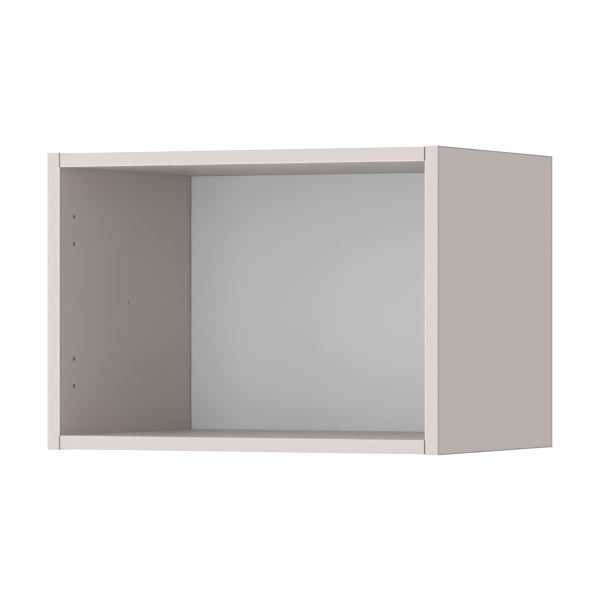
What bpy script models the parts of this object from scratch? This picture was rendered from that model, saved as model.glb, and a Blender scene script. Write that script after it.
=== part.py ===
"""Overhead cabinet carcass: five boards with their edge bands, and the dowels, cam fittings,
nails and hanging plates that hold them together and on the wall.

Metres, +Z up. X runs across the cabinet, -Y is its open front and +Y is the wall.
The origin lies under the middle of the carcass, level with the lower ends of its sides.
"""

import math

import bmesh
import bpy
from mathutils import Matrix, Vector

# Whole carcass
CABINET_WIDTH = 0.500
CABINET_HEIGHT = 0.350
CABINET_DEPTH = 0.350
BOARD_THICKNESS = 0.016
BACK_THICKNESS = 0.003
PANEL_SET_IN = 0.001

# Gaps between pieces
BUTT_GAP = 0.0003
FIT_GAP = 0.0003
GLUE_LINE = 0.0001
CUT_OVERRUN = 0.002

# Edge bands
BAND_THICKNESS = 0.001
BAND_EDGE_RADIUS = 0.0006
BAND_ARC_STEPS = 3

# Rebate for the back panel, along the inner rear edge of each side
REBATE_WIDTH = 0.008

# Hinge plate holes, in pairs near each end of a side
HINGE_SETBACK = 0.037
HINGE_HOLE_PITCH = 0.032
HINGE_HOLE_FROM_END = 0.075
HINGE_HOLE_DIAMETER = 0.005
HINGE_HOLE_DEPTH = 0.012
HINGE_HOLE_SIDES = 32

# Shallow centre marks and the deeper pin hole, halfway up each side
MARK_SETBACKS = (0.017, 0.049)
MARK_DIAMETER = 0.002
MARK_DEPTH = 0.002
PIN_HOLE_SETBACK = 0.177
PIN_HOLE_DIAMETER = 0.003
PIN_HOLE_DEPTH = 0.008
PIN_HOLE_SIDES = 24

# Places of the cam fittings and dowels along each end of the top and bottom panels
CAM_SETBACK = 0.060
CAM_FROM_SIDE = 0.034
DOWEL_FROM_CAM = 0.032

# Cam lock, a short turned cup with a slotted wall
CAM_DIAMETER = 0.015
CAM_HEIGHT = 0.012
CAM_HOLLOW_OFFSET = 0.0004
CAM_CROSS_LENGTH = 0.0075
CAM_CROSS_WIDTH = 0.0016
CAM_CROSS_DEPTH = 0.0025
CAM_ARROW_LENGTH = 0.0018
CAM_ARROW_WIDTH = 0.0022
CAM_ARROW_MARGIN = 0.0008
CAM_ARROW_DEPTH = 0.0005
CAM_SIDES = 48

# Cam bolt, which screws into a side and is held by its ball head in the cam lock
BOLT_BALL_DIAMETER = 0.0066
BOLT_NECK_DIAMETER = 0.004
BOLT_SHANK_DIAMETER = 0.006
BOLT_COLLAR_DIAMETER = 0.007
BOLT_COLLAR_LENGTH = 0.0015
BOLT_THREAD_DIAMETER = 0.005
BOLT_THREAD_LENGTH = 0.011
BOLT_POINT_LENGTH = 0.001
BOLT_BALL_RINGS = 4
BOLT_SIDES = 12

# Dowel
DOWEL_DIAMETER = 0.008
DOWEL_LENGTH = 0.030
DOWEL_IN_SIDE = 0.010
DOWEL_CHAMFER = 0.001
DOWEL_SIDES = 16

# Nails of the back panel
NAIL_DIAMETER = 0.0014
NAIL_LENGTH = 0.020
NAIL_HEAD_DIAMETER = 0.0034
NAIL_HEAD_THICKNESS = 0.0006
NAIL_POINT_LENGTH = 0.0015
NAIL_END_MARGIN = 0.040
NAIL_HANGER_MARGIN = 0.015
NAILS_PER_SIDE = 3
NAILS_PER_PANEL = 4
NAIL_SIDES = 16

# Keyhole hanging plate, let into the rear edge of each side
HANGER_HEIGHT = 0.060
HANGER_WIDTH = 0.012
HANGER_THICKNESS = 0.0025
HANGER_FROM_TOP = 0.025
HANGER_SCREW_MARGIN = 0.006
KEYHOLE_ENTRY_DIAMETER = 0.0085
KEYHOLE_SLOT_WIDTH = 0.005
KEYHOLE_TRAVEL = 0.012
KEYHOLE_POCKET_MARGIN = 0.001
KEYHOLE_POCKET_DEPTH = 0.010
KEYHOLE_ARC_STEPS = 8

# Countersunk screws of the hanging plates
SCREW_DIAMETER = 0.0035
SCREW_LENGTH = 0.020
SCREW_HEAD_DIAMETER = 0.007
SCREW_HEAD_HEIGHT = 0.0018
SCREW_POINT_LENGTH = 0.003
SCREW_CROSS_LENGTH = 0.0038
SCREW_CROSS_WIDTH = 0.0009
SCREW_CROSS_DEPTH = 0.0012
SCREW_SIDES = 16

# Shading
SMOOTH_ANGLE = math.radians(40)

# Faces and edges that several pieces share
FRONT_Y = -CABINET_DEPTH / 2
REAR_Y = CABINET_DEPTH / 2
BOARD_FRONT_Y = FRONT_Y + BAND_THICKNESS + GLUE_LINE
BACK_SEAT_Y = REAR_Y - BACK_THICKNESS - FIT_GAP
OUTER_X = CABINET_WIDTH / 2
INNER_X = OUTER_X - BOARD_THICKNESS
SIDE_MIDDLE_X = OUTER_X - BOARD_THICKNESS / 2
PANEL_END_X = INNER_X - BUTT_GAP
CAM_X = INNER_X - CAM_FROM_SIDE
HANGER_Z = CABINET_HEIGHT - HANGER_FROM_TOP - HANGER_HEIGHT / 2
KEYHOLE_ENTRY_Z = HANGER_Z - KEYHOLE_TRAVEL / 2

LEFT, RIGHT = -1, 1
BOTTOM, TOP = -1, 1
FRONT, REAR = -1, 1
SIDE_NAMES = {LEFT: "left", RIGHT: "right"}
LEVEL_NAMES = {BOTTOM: "bottom", TOP: "top"}
ROW_NAMES = {FRONT: "front", REAR: "rear"}


def level_z(level, depth):
    """Height of a point this deep in the top or bottom panel, counted from its outer face."""
    if level == TOP:
        return CABINET_HEIGHT - PANEL_SET_IN - depth
    return PANEL_SET_IN + depth


def cam_y(row):
    return row * (CABINET_DEPTH / 2 - CAM_SETBACK)


def dowel_y(row):
    return row * (CABINET_DEPTH / 2 - CAM_SETBACK - DOWEL_FROM_CAM)


def evenly(first, last, count):
    """Places from first to last, all the same distance apart."""
    step = (last - first) / max(count - 1, 1)
    return [first + step * index for index in range(count)]


def hinge_hole_heights():
    near_end = (HINGE_HOLE_FROM_END, HINGE_HOLE_FROM_END + HINGE_HOLE_PITCH)
    return [*near_end, *(CABINET_HEIGHT - height for height in near_end)]


def side_nail_heights():
    highest = HANGER_Z - HANGER_HEIGHT / 2 - NAIL_HANGER_MARGIN
    return evenly(NAIL_END_MARGIN, highest, NAILS_PER_SIDE)


def panel_nail_places():
    outermost = INNER_X - NAIL_END_MARGIN
    return evenly(-outermost, outermost, NAILS_PER_PANEL)


def hanger_screw_heights():
    reach = HANGER_HEIGHT / 2 - HANGER_SCREW_MARGIN
    return (HANGER_Z - reach, HANGER_Z + reach)


# Materials


def make_material(name, colour, roughness, metallic):
    material = bpy.data.materials.new(name)
    material.use_nodes = True
    material.diffuse_color = (*colour, 1.0)
    shader = material.node_tree.nodes["Principled BSDF"]
    shader.inputs["Base Color"].default_value = (*colour, 1.0)
    shader.inputs["Roughness"].default_value = roughness
    shader.inputs["Metallic"].default_value = metallic
    return material


def melamine():
    """Warm light grey facing of the boards."""
    return make_material("melamine", (0.62, 0.56, 0.54), 0.45, 0.0)


def edge_plastic():
    """Edge band in the colour of the facing."""
    return make_material("edge_plastic", (0.64, 0.58, 0.56), 0.4, 0.0)


def grey_hardboard():
    """Lacquered hardboard of the back."""
    return make_material("grey_hardboard", (0.52, 0.53, 0.53), 0.5, 0.0)


def beech():
    return make_material("beech", (0.62, 0.44, 0.26), 0.65, 0.0)


def zinc_casting():
    return make_material("zinc_casting", (0.55, 0.56, 0.57), 0.4, 1.0)


def plated_steel():
    return make_material("plated_steel", (0.66, 0.67, 0.69), 0.3, 1.0)


# Shapes, each added to a bmesh


def add_block(mesh, corner, opposite):
    """A cuboid between two opposite corners."""
    low = Vector(min(pair) for pair in zip(corner, opposite))
    high = Vector(max(pair) for pair in zip(corner, opposite))
    stretch = Matrix.Diagonal((*(high - low), 1.0))
    bmesh.ops.create_cube(mesh, size=1.0, matrix=Matrix.Translation((low + high) / 2) @ stretch)


def add_turned(mesh, profile, sides, place):
    """A solid turned about Z from (radius, height) points, which start and end on the axis and go up."""
    rings = []
    for radius, height in profile:
        count = sides if radius else 1
        angles = [math.tau * step / sides for step in range(count)]
        ring = [Vector((radius * math.cos(angle), radius * math.sin(angle), height)) for angle in angles]
        rings.append([mesh.verts.new(place @ point) for point in ring])
    for lower, upper in zip(rings, rings[1:]):
        for step in range(sides):
            here, there = step, (step + 1) % sides
            corners = (
                lower[here % len(lower)],
                lower[there % len(lower)],
                upper[there % len(upper)],
                upper[here % len(upper)],
            )
            mesh.faces.new(dict.fromkeys(corners))


def add_rod(mesh, diameter, start, end, sides):
    """A cylinder from one point to another."""
    along = Vector(end) - Vector(start)
    turn = along.to_track_quat("Z", "Y").to_matrix().to_4x4()
    radius = diameter / 2
    profile = [(0, 0), (radius, 0), (radius, along.length), (0, along.length)]
    add_turned(mesh, profile, sides, Matrix.Translation(start) @ turn)


def add_prism(mesh, outline, low, high, place):
    """An outline of (x, y) points, counter-clockwise, carried up from one height to another."""
    floor = [mesh.verts.new(place @ Vector((x, y, low))) for x, y in outline]
    roof = [mesh.verts.new(place @ Vector((x, y, high))) for x, y in outline]
    mesh.faces.new(reversed(floor))
    mesh.faces.new(roof)
    for index in range(len(outline)):
        after = (index + 1) % len(outline)
        mesh.faces.new((floor[index], floor[after], roof[after], roof[index]))


# Outlines


def arc(centre, radius, start, end, steps):
    """Points round a centre, from one angle to another in radians."""
    angles = [start + (end - start) * step / steps for step in range(steps + 1)]
    return [(centre[0] + radius * math.cos(angle), centre[1] + radius * math.sin(angle)) for angle in angles]


def band_outline():
    """Section of an edge band: its outer face lies on y = 0, with both edges of it rounded."""
    radius = BAND_EDGE_RADIUS
    reach = BOARD_THICKNESS / 2 - radius
    left = arc((-reach, radius), radius, math.pi, math.pi * 1.5, BAND_ARC_STEPS)
    right = arc((reach, radius), radius, math.pi * 1.5, math.tau, BAND_ARC_STEPS)
    inner = [(BOARD_THICKNESS / 2, BAND_THICKNESS), (-BOARD_THICKNESS / 2, BAND_THICKNESS)]
    return left + right + inner


def slot_outline(width, low, high):
    """A slot with round ends, upright along y, between the centres of its ends."""
    lower = arc((0, low), width / 2, math.pi, math.tau, KEYHOLE_ARC_STEPS)
    upper = arc((0, high), width / 2, 0, math.pi, KEYHOLE_ARC_STEPS)
    return lower + upper


def cross_outline(length, width):
    """A cross recess, counter-clockwise from the right arm's upper corner."""
    arm, half = length / 2, width / 2
    quarter = [(arm, half), (half, half), (half, arm)]
    points = []
    for turn in range(4):
        spin = Matrix.Rotation(math.pi / 2 * turn, 2)
        points += [tuple(spin @ Vector(point)) for point in quarter]
    return points


# Objects


def mesh_from(name, shape):
    """A mesh made of the shapes in a bmesh, with round faces shaded smooth."""
    data = bpy.data.meshes.new(name)
    shape.to_mesh(data)
    shape.free()
    data.shade_smooth()
    data.set_sharp_from_angle(angle=SMOOTH_ANGLE)
    return data


def place_object(name, data, material, place, parent):
    obj = bpy.data.objects.new(name, data)
    if material:
        data.materials.clear()
        data.materials.append(material)
    bpy.context.scene.collection.objects.link(obj)
    obj.parent = parent
    obj.matrix_basis = place
    return obj


def cut(target, shape, name):
    """Takes the shapes in a bmesh, which are in the cabinet's own place, out of an object."""
    cutter = place_object(name, mesh_from(name, shape), None, Matrix(), None)
    cutter.display_type = "WIRE"
    cutter.hide_render = True
    modifier = target.modifiers.new(name, "BOOLEAN")
    modifier.operation = "DIFFERENCE"
    modifier.solver = "EXACT"
    modifier.object = cutter


def finished_mesh(obj):
    """The mesh of an object with its cuts made; the object and its cutters are then removed."""
    evaluated = obj.evaluated_get(bpy.context.evaluated_depsgraph_get())
    data = bpy.data.meshes.new_from_object(evaluated)
    for cutter in [modifier.object for modifier in obj.modifiers]:
        bpy.data.objects.remove(cutter)
    bpy.data.objects.remove(obj)
    data.set_sharp_from_angle(angle=SMOOTH_ANGLE)
    return data


# Sides


def add_rebate(shape, side):
    """The rebate for the back panel, sawn right through both ends of a side."""
    inside = (side * (INNER_X - CUT_OVERRUN), REAR_Y + CUT_OVERRUN, -CUT_OVERRUN)
    corner = (side * (INNER_X + REBATE_WIDTH), BACK_SEAT_Y, CABINET_HEIGHT + CUT_OVERRUN)
    add_block(shape, inside, corner)


def add_side_bore(shape, side, y, z, diameter, depth, sides):
    """A blind hole in the inner face of a side."""
    mouth = (side * (INNER_X - CUT_OVERRUN), y, z)
    add_rod(shape, diameter, mouth, (side * (INNER_X + depth), y, z), sides)


def add_rear_bore(shape, x, z, diameter, length):
    """A blind hole from the rear that clears the whole length of a nail or screw."""
    mouth = (x, REAR_Y + CUT_OVERRUN, z)
    add_rod(shape, diameter + 2 * FIT_GAP, mouth, (x, REAR_Y - length - FIT_GAP, z), NAIL_SIDES)


def add_hinge_holes(shape, side):
    y = FRONT_Y + HINGE_SETBACK
    for z in hinge_hole_heights():
        add_side_bore(shape, side, y, z, HINGE_HOLE_DIAMETER, HINGE_HOLE_DEPTH, HINGE_HOLE_SIDES)


def add_middle_holes(shape, side):
    """Two centre marks and a pin hole, in a row halfway up."""
    z = CABINET_HEIGHT / 2
    for setback in MARK_SETBACKS:
        add_side_bore(shape, side, FRONT_Y + setback, z, MARK_DIAMETER, MARK_DEPTH, NAIL_SIDES)
    pin_hole = (PIN_HOLE_DIAMETER, PIN_HOLE_DEPTH, PIN_HOLE_SIDES)
    add_side_bore(shape, side, FRONT_Y + PIN_HOLE_SETBACK, z, *pin_hole)


def add_fitting_sockets(shape, side):
    """Sockets for the threads of the cam bolts and for the dowels."""
    for level in (BOTTOM, TOP):
        z = level_z(level, BOARD_THICKNESS / 2)
        for row in (FRONT, REAR):
            bolt_socket = (BOLT_THREAD_DIAMETER + 2 * FIT_GAP, BOLT_THREAD_LENGTH + FIT_GAP)
            dowel_socket = (DOWEL_DIAMETER + 2 * FIT_GAP, DOWEL_IN_SIDE + FIT_GAP)
            add_side_bore(shape, side, cam_y(row), z, *bolt_socket, BOLT_SIDES)
            add_side_bore(shape, side, dowel_y(row), z, *dowel_socket, DOWEL_SIDES)


def add_hanger_seat(shape, side):
    """The shallow step that the hanging plate lies in, open towards the rebate."""
    half_width, half_height = HANGER_WIDTH / 2 + FIT_GAP, HANGER_HEIGHT / 2 + FIT_GAP
    inner_x, outer_x = side * (SIDE_MIDDLE_X - half_width), side * (SIDE_MIDDLE_X + half_width)
    low = (inner_x, REAR_Y - HANGER_THICKNESS - FIT_GAP, HANGER_Z - half_height)
    high = (outer_x, REAR_Y + CUT_OVERRUN, HANGER_Z + half_height)
    add_block(shape, low, high)


def rear_facing(x, z):
    """Turns a shape's +Z to the rear and puts its origin in the rear plane."""
    return Matrix.Translation((x, REAR_Y, z)) @ Matrix.Rotation(-math.pi / 2, 4, "X")


def add_head_pocket(shape, side):
    """Room behind the keyhole for the head of the wall screw."""
    width = KEYHOLE_ENTRY_DIAMETER + 2 * KEYHOLE_POCKET_MARGIN
    outline = slot_outline(width, -KEYHOLE_TRAVEL / 2, KEYHOLE_TRAVEL / 2)
    floor = -HANGER_THICKNESS - KEYHOLE_POCKET_DEPTH
    add_prism(shape, outline, floor, CUT_OVERRUN, rear_facing(side * SIDE_MIDDLE_X, HANGER_Z))


def make_side_panel(side, material, parent):
    name = SIDE_NAMES[side] + "_side_panel"
    lowest = BAND_THICKNESS + GLUE_LINE
    shape = bmesh.new()
    add_block(
        shape,
        (side * INNER_X, BOARD_FRONT_Y, lowest),
        (side * OUTER_X, REAR_Y, CABINET_HEIGHT - lowest),
    )
    panel = place_object(name, mesh_from(name, shape), material, Matrix(), parent)

    rebate = bmesh.new()
    add_rebate(rebate, side)
    cut(panel, rebate, name + "_rebate")

    holes = bmesh.new()
    add_hinge_holes(holes, side)
    add_middle_holes(holes, side)
    add_fitting_sockets(holes, side)
    add_hanger_seat(holes, side)
    cut(panel, holes, name + "_holes")

    rear_holes = bmesh.new()
    add_head_pocket(rear_holes, side)
    for z in hanger_screw_heights():
        add_rear_bore(rear_holes, side * SIDE_MIDDLE_X, z, SCREW_DIAMETER, SCREW_LENGTH)
    for z in side_nail_heights():
        add_rear_bore(rear_holes, side * (INNER_X + REBATE_WIDTH / 2), z, NAIL_DIAMETER, NAIL_LENGTH)
    cut(panel, rear_holes, name + "_rear_holes")
    return panel


# Top and bottom panels


def make_level_panel(level, material, parent):
    """The top or bottom panel, with bores for the cams, bolts, dowels and nails."""
    name = LEVEL_NAMES[level] + "_panel"
    middle = level_z(level, BOARD_THICKNESS / 2)
    shape = bmesh.new()
    add_block(
        shape,
        (-PANEL_END_X, BOARD_FRONT_Y, level_z(level, 0)),
        (PANEL_END_X, BACK_SEAT_Y, level_z(level, BOARD_THICKNESS)),
    )
    panel = place_object(name, mesh_from(name, shape), material, Matrix(), parent)

    cam_bores = bmesh.new()
    holes = bmesh.new()
    mouth_x = INNER_X + CUT_OVERRUN
    dowel_end_x = INNER_X - (DOWEL_LENGTH - DOWEL_IN_SIDE) - FIT_GAP
    bolt_bore = BOLT_COLLAR_DIAMETER + 2 * FIT_GAP
    for side in (LEFT, RIGHT):
        for row in (FRONT, REAR):
            y = cam_y(row)
            mouth = (side * CAM_X, y, level_z(level, -CUT_OVERRUN))
            floor = (side * CAM_X, y, level_z(level, CAM_HEIGHT + FIT_GAP))
            add_rod(cam_bores, CAM_DIAMETER + 2 * FIT_GAP, mouth, floor, CAM_SIDES)
            add_rod(holes, bolt_bore, (side * mouth_x, y, middle), (side * CAM_X, y, middle), BOLT_SIDES)
            add_rod(
                holes,
                DOWEL_DIAMETER + 2 * FIT_GAP,
                (side * mouth_x, dowel_y(row), middle),
                (side * dowel_end_x, dowel_y(row), middle),
                DOWEL_SIDES,
            )
    for x in panel_nail_places():
        add_rear_bore(holes, x, middle, NAIL_DIAMETER, NAIL_LENGTH)
    cut(panel, cam_bores, name + "_cam_bores")
    cut(panel, holes, name + "_holes")
    return panel


# Back panel


def nail_hole_profile():
    """Section of a hole for a nail whose head sinks flush into the back panel."""
    shank = NAIL_DIAMETER / 2 + FIT_GAP
    head = NAIL_HEAD_DIAMETER / 2 + FIT_GAP
    inner = -BACK_THICKNESS - CUT_OVERRUN
    step = -NAIL_HEAD_THICKNESS - FIT_GAP
    return [(0, inner), (shank, inner), (shank, step), (head, step), (head, CUT_OVERRUN), (0, CUT_OVERRUN)]


def nail_places():
    """Name, x and z of every nail of the back panel."""
    places = []
    for side in (LEFT, RIGHT):
        for index, z in enumerate(side_nail_heights(), start=1):
            places.append((f"back_nail_{SIDE_NAMES[side]}_{index}", side * (INNER_X + REBATE_WIDTH / 2), z))
    for level in (TOP, BOTTOM):
        z = level_z(level, BOARD_THICKNESS / 2)
        for index, x in enumerate(panel_nail_places(), start=1):
            places.append((f"back_nail_{LEVEL_NAMES[level]}_{index}", x, z))
    return places


def make_back_panel(material, parent):
    """Thin board in the rebates of the sides, nailed over the rear edges of the top and bottom."""
    name = "back_panel"
    edge_x = INNER_X + REBATE_WIDTH - FIT_GAP
    shape = bmesh.new()
    add_block(
        shape,
        (-edge_x, REAR_Y - BACK_THICKNESS, level_z(BOTTOM, 0)),
        (edge_x, REAR_Y, level_z(TOP, 0)),
    )
    panel = place_object(name, mesh_from(name, shape), material, Matrix(), parent)

    holes = bmesh.new()
    for _, x, z in nail_places():
        add_turned(holes, nail_hole_profile(), NAIL_SIDES, rear_facing(x, z))
    notch_x = SIDE_MIDDLE_X - HANGER_WIDTH / 2 - FIT_GAP
    half_height = HANGER_HEIGHT / 2 + FIT_GAP
    for side in (LEFT, RIGHT):
        low = (side * notch_x, REAR_Y - BACK_THICKNESS - CUT_OVERRUN, HANGER_Z - half_height)
        high = (side * (edge_x + CUT_OVERRUN), REAR_Y + CUT_OVERRUN, HANGER_Z + half_height)
        add_block(holes, low, high)
    cut(panel, holes, name + "_holes")
    return panel


# Edge bands


def band_mesh(name, length):
    """A strip of edge band along Z, centred on its length, with its outer face at y = 0."""
    shape = bmesh.new()
    add_prism(shape, band_outline(), -length / 2, length / 2, Matrix())
    return mesh_from(name, shape)


def make_front_bands(material, parent):
    """A band on the front edge of each of the four boards."""
    for side in (LEFT, RIGHT):
        name = SIDE_NAMES[side] + "_side_front_band"
        place = Matrix.Translation((side * SIDE_MIDDLE_X, FRONT_Y, CABINET_HEIGHT / 2))
        place_object(name, band_mesh(name, CABINET_HEIGHT), material, place, parent)
    for level in (BOTTOM, TOP):
        name = LEVEL_NAMES[level] + "_panel_front_band"
        middle = level_z(level, BOARD_THICKNESS / 2)
        place = Matrix.Translation((0, FRONT_Y, middle)) @ Matrix.Rotation(math.pi / 2, 4, "Y")
        place_object(name, band_mesh(name, 2 * PANEL_END_X), material, place, parent)


def make_end_bands(material, parent):
    """A band on the upper and lower end of each side, notched by the rebate."""
    length = REAR_Y - BOARD_FRONT_Y
    end_z = {BOTTOM: 0, TOP: CABINET_HEIGHT}
    for side in (LEFT, RIGHT):
        for level in (BOTTOM, TOP):
            name = f"{SIDE_NAMES[side]}_side_{LEVEL_NAMES[level]}_band"
            centre = (side * SIDE_MIDDLE_X, (REAR_Y + BOARD_FRONT_Y) / 2, end_z[level])
            place = Matrix.Translation(centre) @ Matrix.Rotation(-level * math.pi / 2, 4, "X")
            band = place_object(name, band_mesh(name, length), material, place, parent)
            rebate = bmesh.new()
            add_rebate(rebate, side)
            cut(band, rebate, name + "_rebate")


# Fittings that join the boards


def dowel_mesh():
    """A dowel along Z with chamfered ends; its origin is where it leaves the side."""
    radius = DOWEL_DIAMETER / 2
    low, high = DOWEL_IN_SIDE - DOWEL_LENGTH, DOWEL_IN_SIDE
    end = radius - DOWEL_CHAMFER
    shape = bmesh.new()
    profile = [
        (0, low),
        (end, low),
        (radius, low + DOWEL_CHAMFER),
        (radius, high - DOWEL_CHAMFER),
        (end, high),
        (0, high),
    ]
    add_turned(shape, profile, DOWEL_SIDES, Matrix())
    return mesh_from("dowel", shape)


def bolt_mesh():
    """A cam bolt along Z: ball head at the origin, then neck, shank, collar and thread."""
    ball, neck = BOLT_BALL_DIAMETER / 2, BOLT_NECK_DIAMETER / 2
    shank, collar, thread = BOLT_SHANK_DIAMETER / 2, BOLT_COLLAR_DIAMETER / 2, BOLT_THREAD_DIAMETER / 2
    neck_end = CAM_DIAMETER / 2 + 2 * FIT_GAP
    collar_end = CAM_FROM_SIDE - FIT_GAP
    tip = CAM_FROM_SIDE + BOLT_THREAD_LENGTH
    last_angle = math.asin(neck / ball)
    profile = [(0, -ball)]
    for step in range(1, BOLT_BALL_RINGS + 1):
        angle = math.pi - (math.pi - last_angle) * step / BOLT_BALL_RINGS
        profile.append((ball * math.sin(angle), ball * math.cos(angle)))
    profile += [
        (neck, neck_end),
        (shank, neck_end),
        (shank, collar_end - BOLT_COLLAR_LENGTH),
        (collar, collar_end - BOLT_COLLAR_LENGTH),
        (collar, collar_end),
        (thread, collar_end),
        (thread, tip - BOLT_POINT_LENGTH),
        (thread - BOLT_POINT_LENGTH, tip),
        (0, tip),
    ]
    shape = bmesh.new()
    add_turned(shape, profile, BOLT_SIDES, Matrix())
    return mesh_from("cam_bolt", shape)


def cam_mesh():
    """A cam lock: its driven face is at z = 0 and the locked bolt leaves it towards +X.

    The hollow holds the bolt's ball, the mouth on the -X side lets it in, and the slot lets
    the neck pass through the wall all the way round from the mouth to the locked end.
    """
    radius = CAM_DIAMETER / 2
    ball_room = BOLT_BALL_DIAMETER / 2 + FIT_GAP
    neck_room = BOLT_NECK_DIAMETER / 2 + FIT_GAP
    bolt_z = -BOARD_THICKNESS / 2
    beyond = radius + CUT_OVERRUN
    below = -CAM_HEIGHT - CUT_OVERRUN
    shape = bmesh.new()
    profile = [(0, -CAM_HEIGHT), (radius, -CAM_HEIGHT), (radius, 0), (0, 0)]
    add_turned(shape, profile, CAM_SIDES, Matrix())
    cup = place_object("cam_cup", mesh_from("cam_cup", shape), None, Matrix(), None)

    hollow = bmesh.new()
    hollow_x = -CAM_HOLLOW_OFFSET
    hollow_diameter = 2 * (ball_room + CAM_HOLLOW_OFFSET)
    hollow_roof = bolt_z + ball_room
    add_rod(hollow, hollow_diameter, (hollow_x, 0, below), (hollow_x, 0, hollow_roof), CAM_SIDES)
    cut(cup, hollow, "cam_hollow")

    mouth = bmesh.new()
    add_block(mouth, (-beyond, -ball_room, below), (0, ball_room, hollow_roof))
    cut(cup, mouth, "cam_mouth")

    slot = bmesh.new()
    add_block(slot, (-beyond, -beyond, bolt_z - neck_room), (beyond, neck_room, bolt_z + neck_room))
    cut(cup, slot, "cam_slot")

    recess = bmesh.new()
    cross = cross_outline(CAM_CROSS_LENGTH, CAM_CROSS_WIDTH)
    add_prism(recess, cross, -CAM_CROSS_DEPTH, CUT_OVERRUN, Matrix())
    cut(cup, recess, "cam_cross")

    pointer = bmesh.new()
    tip_x = CAM_ARROW_MARGIN - radius
    base_x = tip_x + CAM_ARROW_LENGTH
    arrow = [(tip_x, 0), (base_x, -CAM_ARROW_WIDTH / 2), (base_x, CAM_ARROW_WIDTH / 2)]
    add_prism(pointer, arrow, -CAM_ARROW_DEPTH, CUT_OVERRUN, Matrix())
    cut(cup, pointer, "cam_arrow")
    return finished_mesh(cup)


def cam_turn(side, level):
    """Points a cam's face outwards and its locked end towards its side."""
    turn = Matrix() if side == RIGHT else Matrix.Rotation(math.pi, 4, "Z")
    flip = Matrix() if level == TOP else Matrix.Rotation(math.pi, 4, "X")
    return flip @ turn


def make_joint_fittings(wood, zinc, steel, parent):
    """A dowel, a cam bolt and a cam lock at the front and rear of each board joint."""
    dowel, bolt, cam = dowel_mesh(), bolt_mesh(), cam_mesh()
    for level in (TOP, BOTTOM):
        middle = level_z(level, BOARD_THICKNESS / 2)
        for side in (LEFT, RIGHT):
            outwards = Matrix.Rotation(side * math.pi / 2, 4, "Y")
            for row in (FRONT, REAR):
                joint = f"{LEVEL_NAMES[level]}_{SIDE_NAMES[side]}_{ROW_NAMES[row]}"
                at_face = Matrix.Translation((side * INNER_X, dowel_y(row), middle))
                at_cam = Matrix.Translation((side * CAM_X, cam_y(row), middle))
                at_cam_face = Matrix.Translation((side * CAM_X, cam_y(row), level_z(level, 0)))
                place_object("dowel_" + joint, dowel, wood, at_face @ outwards, parent)
                place_object("cam_bolt_" + joint, bolt, steel, at_cam @ outwards, parent)
                place_object("cam_lock_" + joint, cam, zinc, at_cam_face @ cam_turn(side, level), parent)


# Nails


def nail_mesh():
    """A flat-head nail along Z, with the top of its head at z = 0."""
    shank, head = NAIL_DIAMETER / 2, NAIL_HEAD_DIAMETER / 2
    profile = [
        (0, -NAIL_LENGTH),
        (shank, NAIL_POINT_LENGTH - NAIL_LENGTH),
        (shank, -NAIL_HEAD_THICKNESS),
        (head, -NAIL_HEAD_THICKNESS),
        (head, 0),
        (0, 0),
    ]
    shape = bmesh.new()
    add_turned(shape, profile, NAIL_SIDES, Matrix())
    return mesh_from("nail", shape)


def make_nails(material, parent):
    nail = nail_mesh()
    for name, x, z in nail_places():
        place_object(name, nail, material, rear_facing(x, z), parent)


# Hanging plates


def countersink_profile():
    """Section of the hole for a countersunk screw through a hanging plate."""
    shank = SCREW_DIAMETER / 2 + FIT_GAP
    head = SCREW_HEAD_DIAMETER / 2 + FIT_GAP
    inner = -HANGER_THICKNESS - CUT_OVERRUN
    return [
        (0, inner),
        (shank, inner),
        (shank, -SCREW_HEAD_HEIGHT),
        (head, 0),
        (head, CUT_OVERRUN),
        (0, CUT_OVERRUN),
    ]


def make_hanging_plate(side, material, parent):
    """A steel plate, flush with the rear, whose keyhole drops over a wall screw."""
    name = SIDE_NAMES[side] + "_hanging_plate"
    x = side * SIDE_MIDDLE_X
    corner_x, corner_z = HANGER_WIDTH / 2, HANGER_HEIGHT / 2
    shape = bmesh.new()
    add_block(
        shape,
        (x - corner_x, REAR_Y - HANGER_THICKNESS, HANGER_Z - corner_z),
        (x + corner_x, REAR_Y, HANGER_Z + corner_z),
    )
    plate = place_object(name, mesh_from(name, shape), material, Matrix(), parent)

    holes = bmesh.new()
    entry_start = (x, REAR_Y + CUT_OVERRUN, KEYHOLE_ENTRY_Z)
    entry_end = (x, REAR_Y - HANGER_THICKNESS - CUT_OVERRUN, KEYHOLE_ENTRY_Z)
    add_rod(holes, KEYHOLE_ENTRY_DIAMETER, entry_start, entry_end, SCREW_SIDES)
    for z in hanger_screw_heights():
        add_turned(holes, countersink_profile(), SCREW_SIDES, rear_facing(x, z))
    cut(plate, holes, name + "_holes")

    slot = bmesh.new()
    half_travel = KEYHOLE_TRAVEL / 2
    outline = slot_outline(KEYHOLE_SLOT_WIDTH, -half_travel, half_travel)
    inner = -HANGER_THICKNESS - CUT_OVERRUN
    add_prism(slot, outline, inner, CUT_OVERRUN, rear_facing(x, HANGER_Z))
    cut(plate, slot, name + "_slot")
    return plate


def screw_mesh():
    """A countersunk screw along Z, with the top of its head at z = 0 and a cross recess in it."""
    shank, head = SCREW_DIAMETER / 2, SCREW_HEAD_DIAMETER / 2
    profile = [
        (0, -SCREW_LENGTH),
        (shank, SCREW_POINT_LENGTH - SCREW_LENGTH),
        (shank, -SCREW_HEAD_HEIGHT),
        (head, 0),
        (0, 0),
    ]
    shape = bmesh.new()
    add_turned(shape, profile, SCREW_SIDES, Matrix())
    screw = place_object("screw", mesh_from("screw", shape), None, Matrix(), None)
    recess = bmesh.new()
    cross = cross_outline(SCREW_CROSS_LENGTH, SCREW_CROSS_WIDTH)
    add_prism(recess, cross, -SCREW_CROSS_DEPTH, CUT_OVERRUN, Matrix())
    cut(screw, recess, "screw_cross")
    return finished_mesh(screw)


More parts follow.
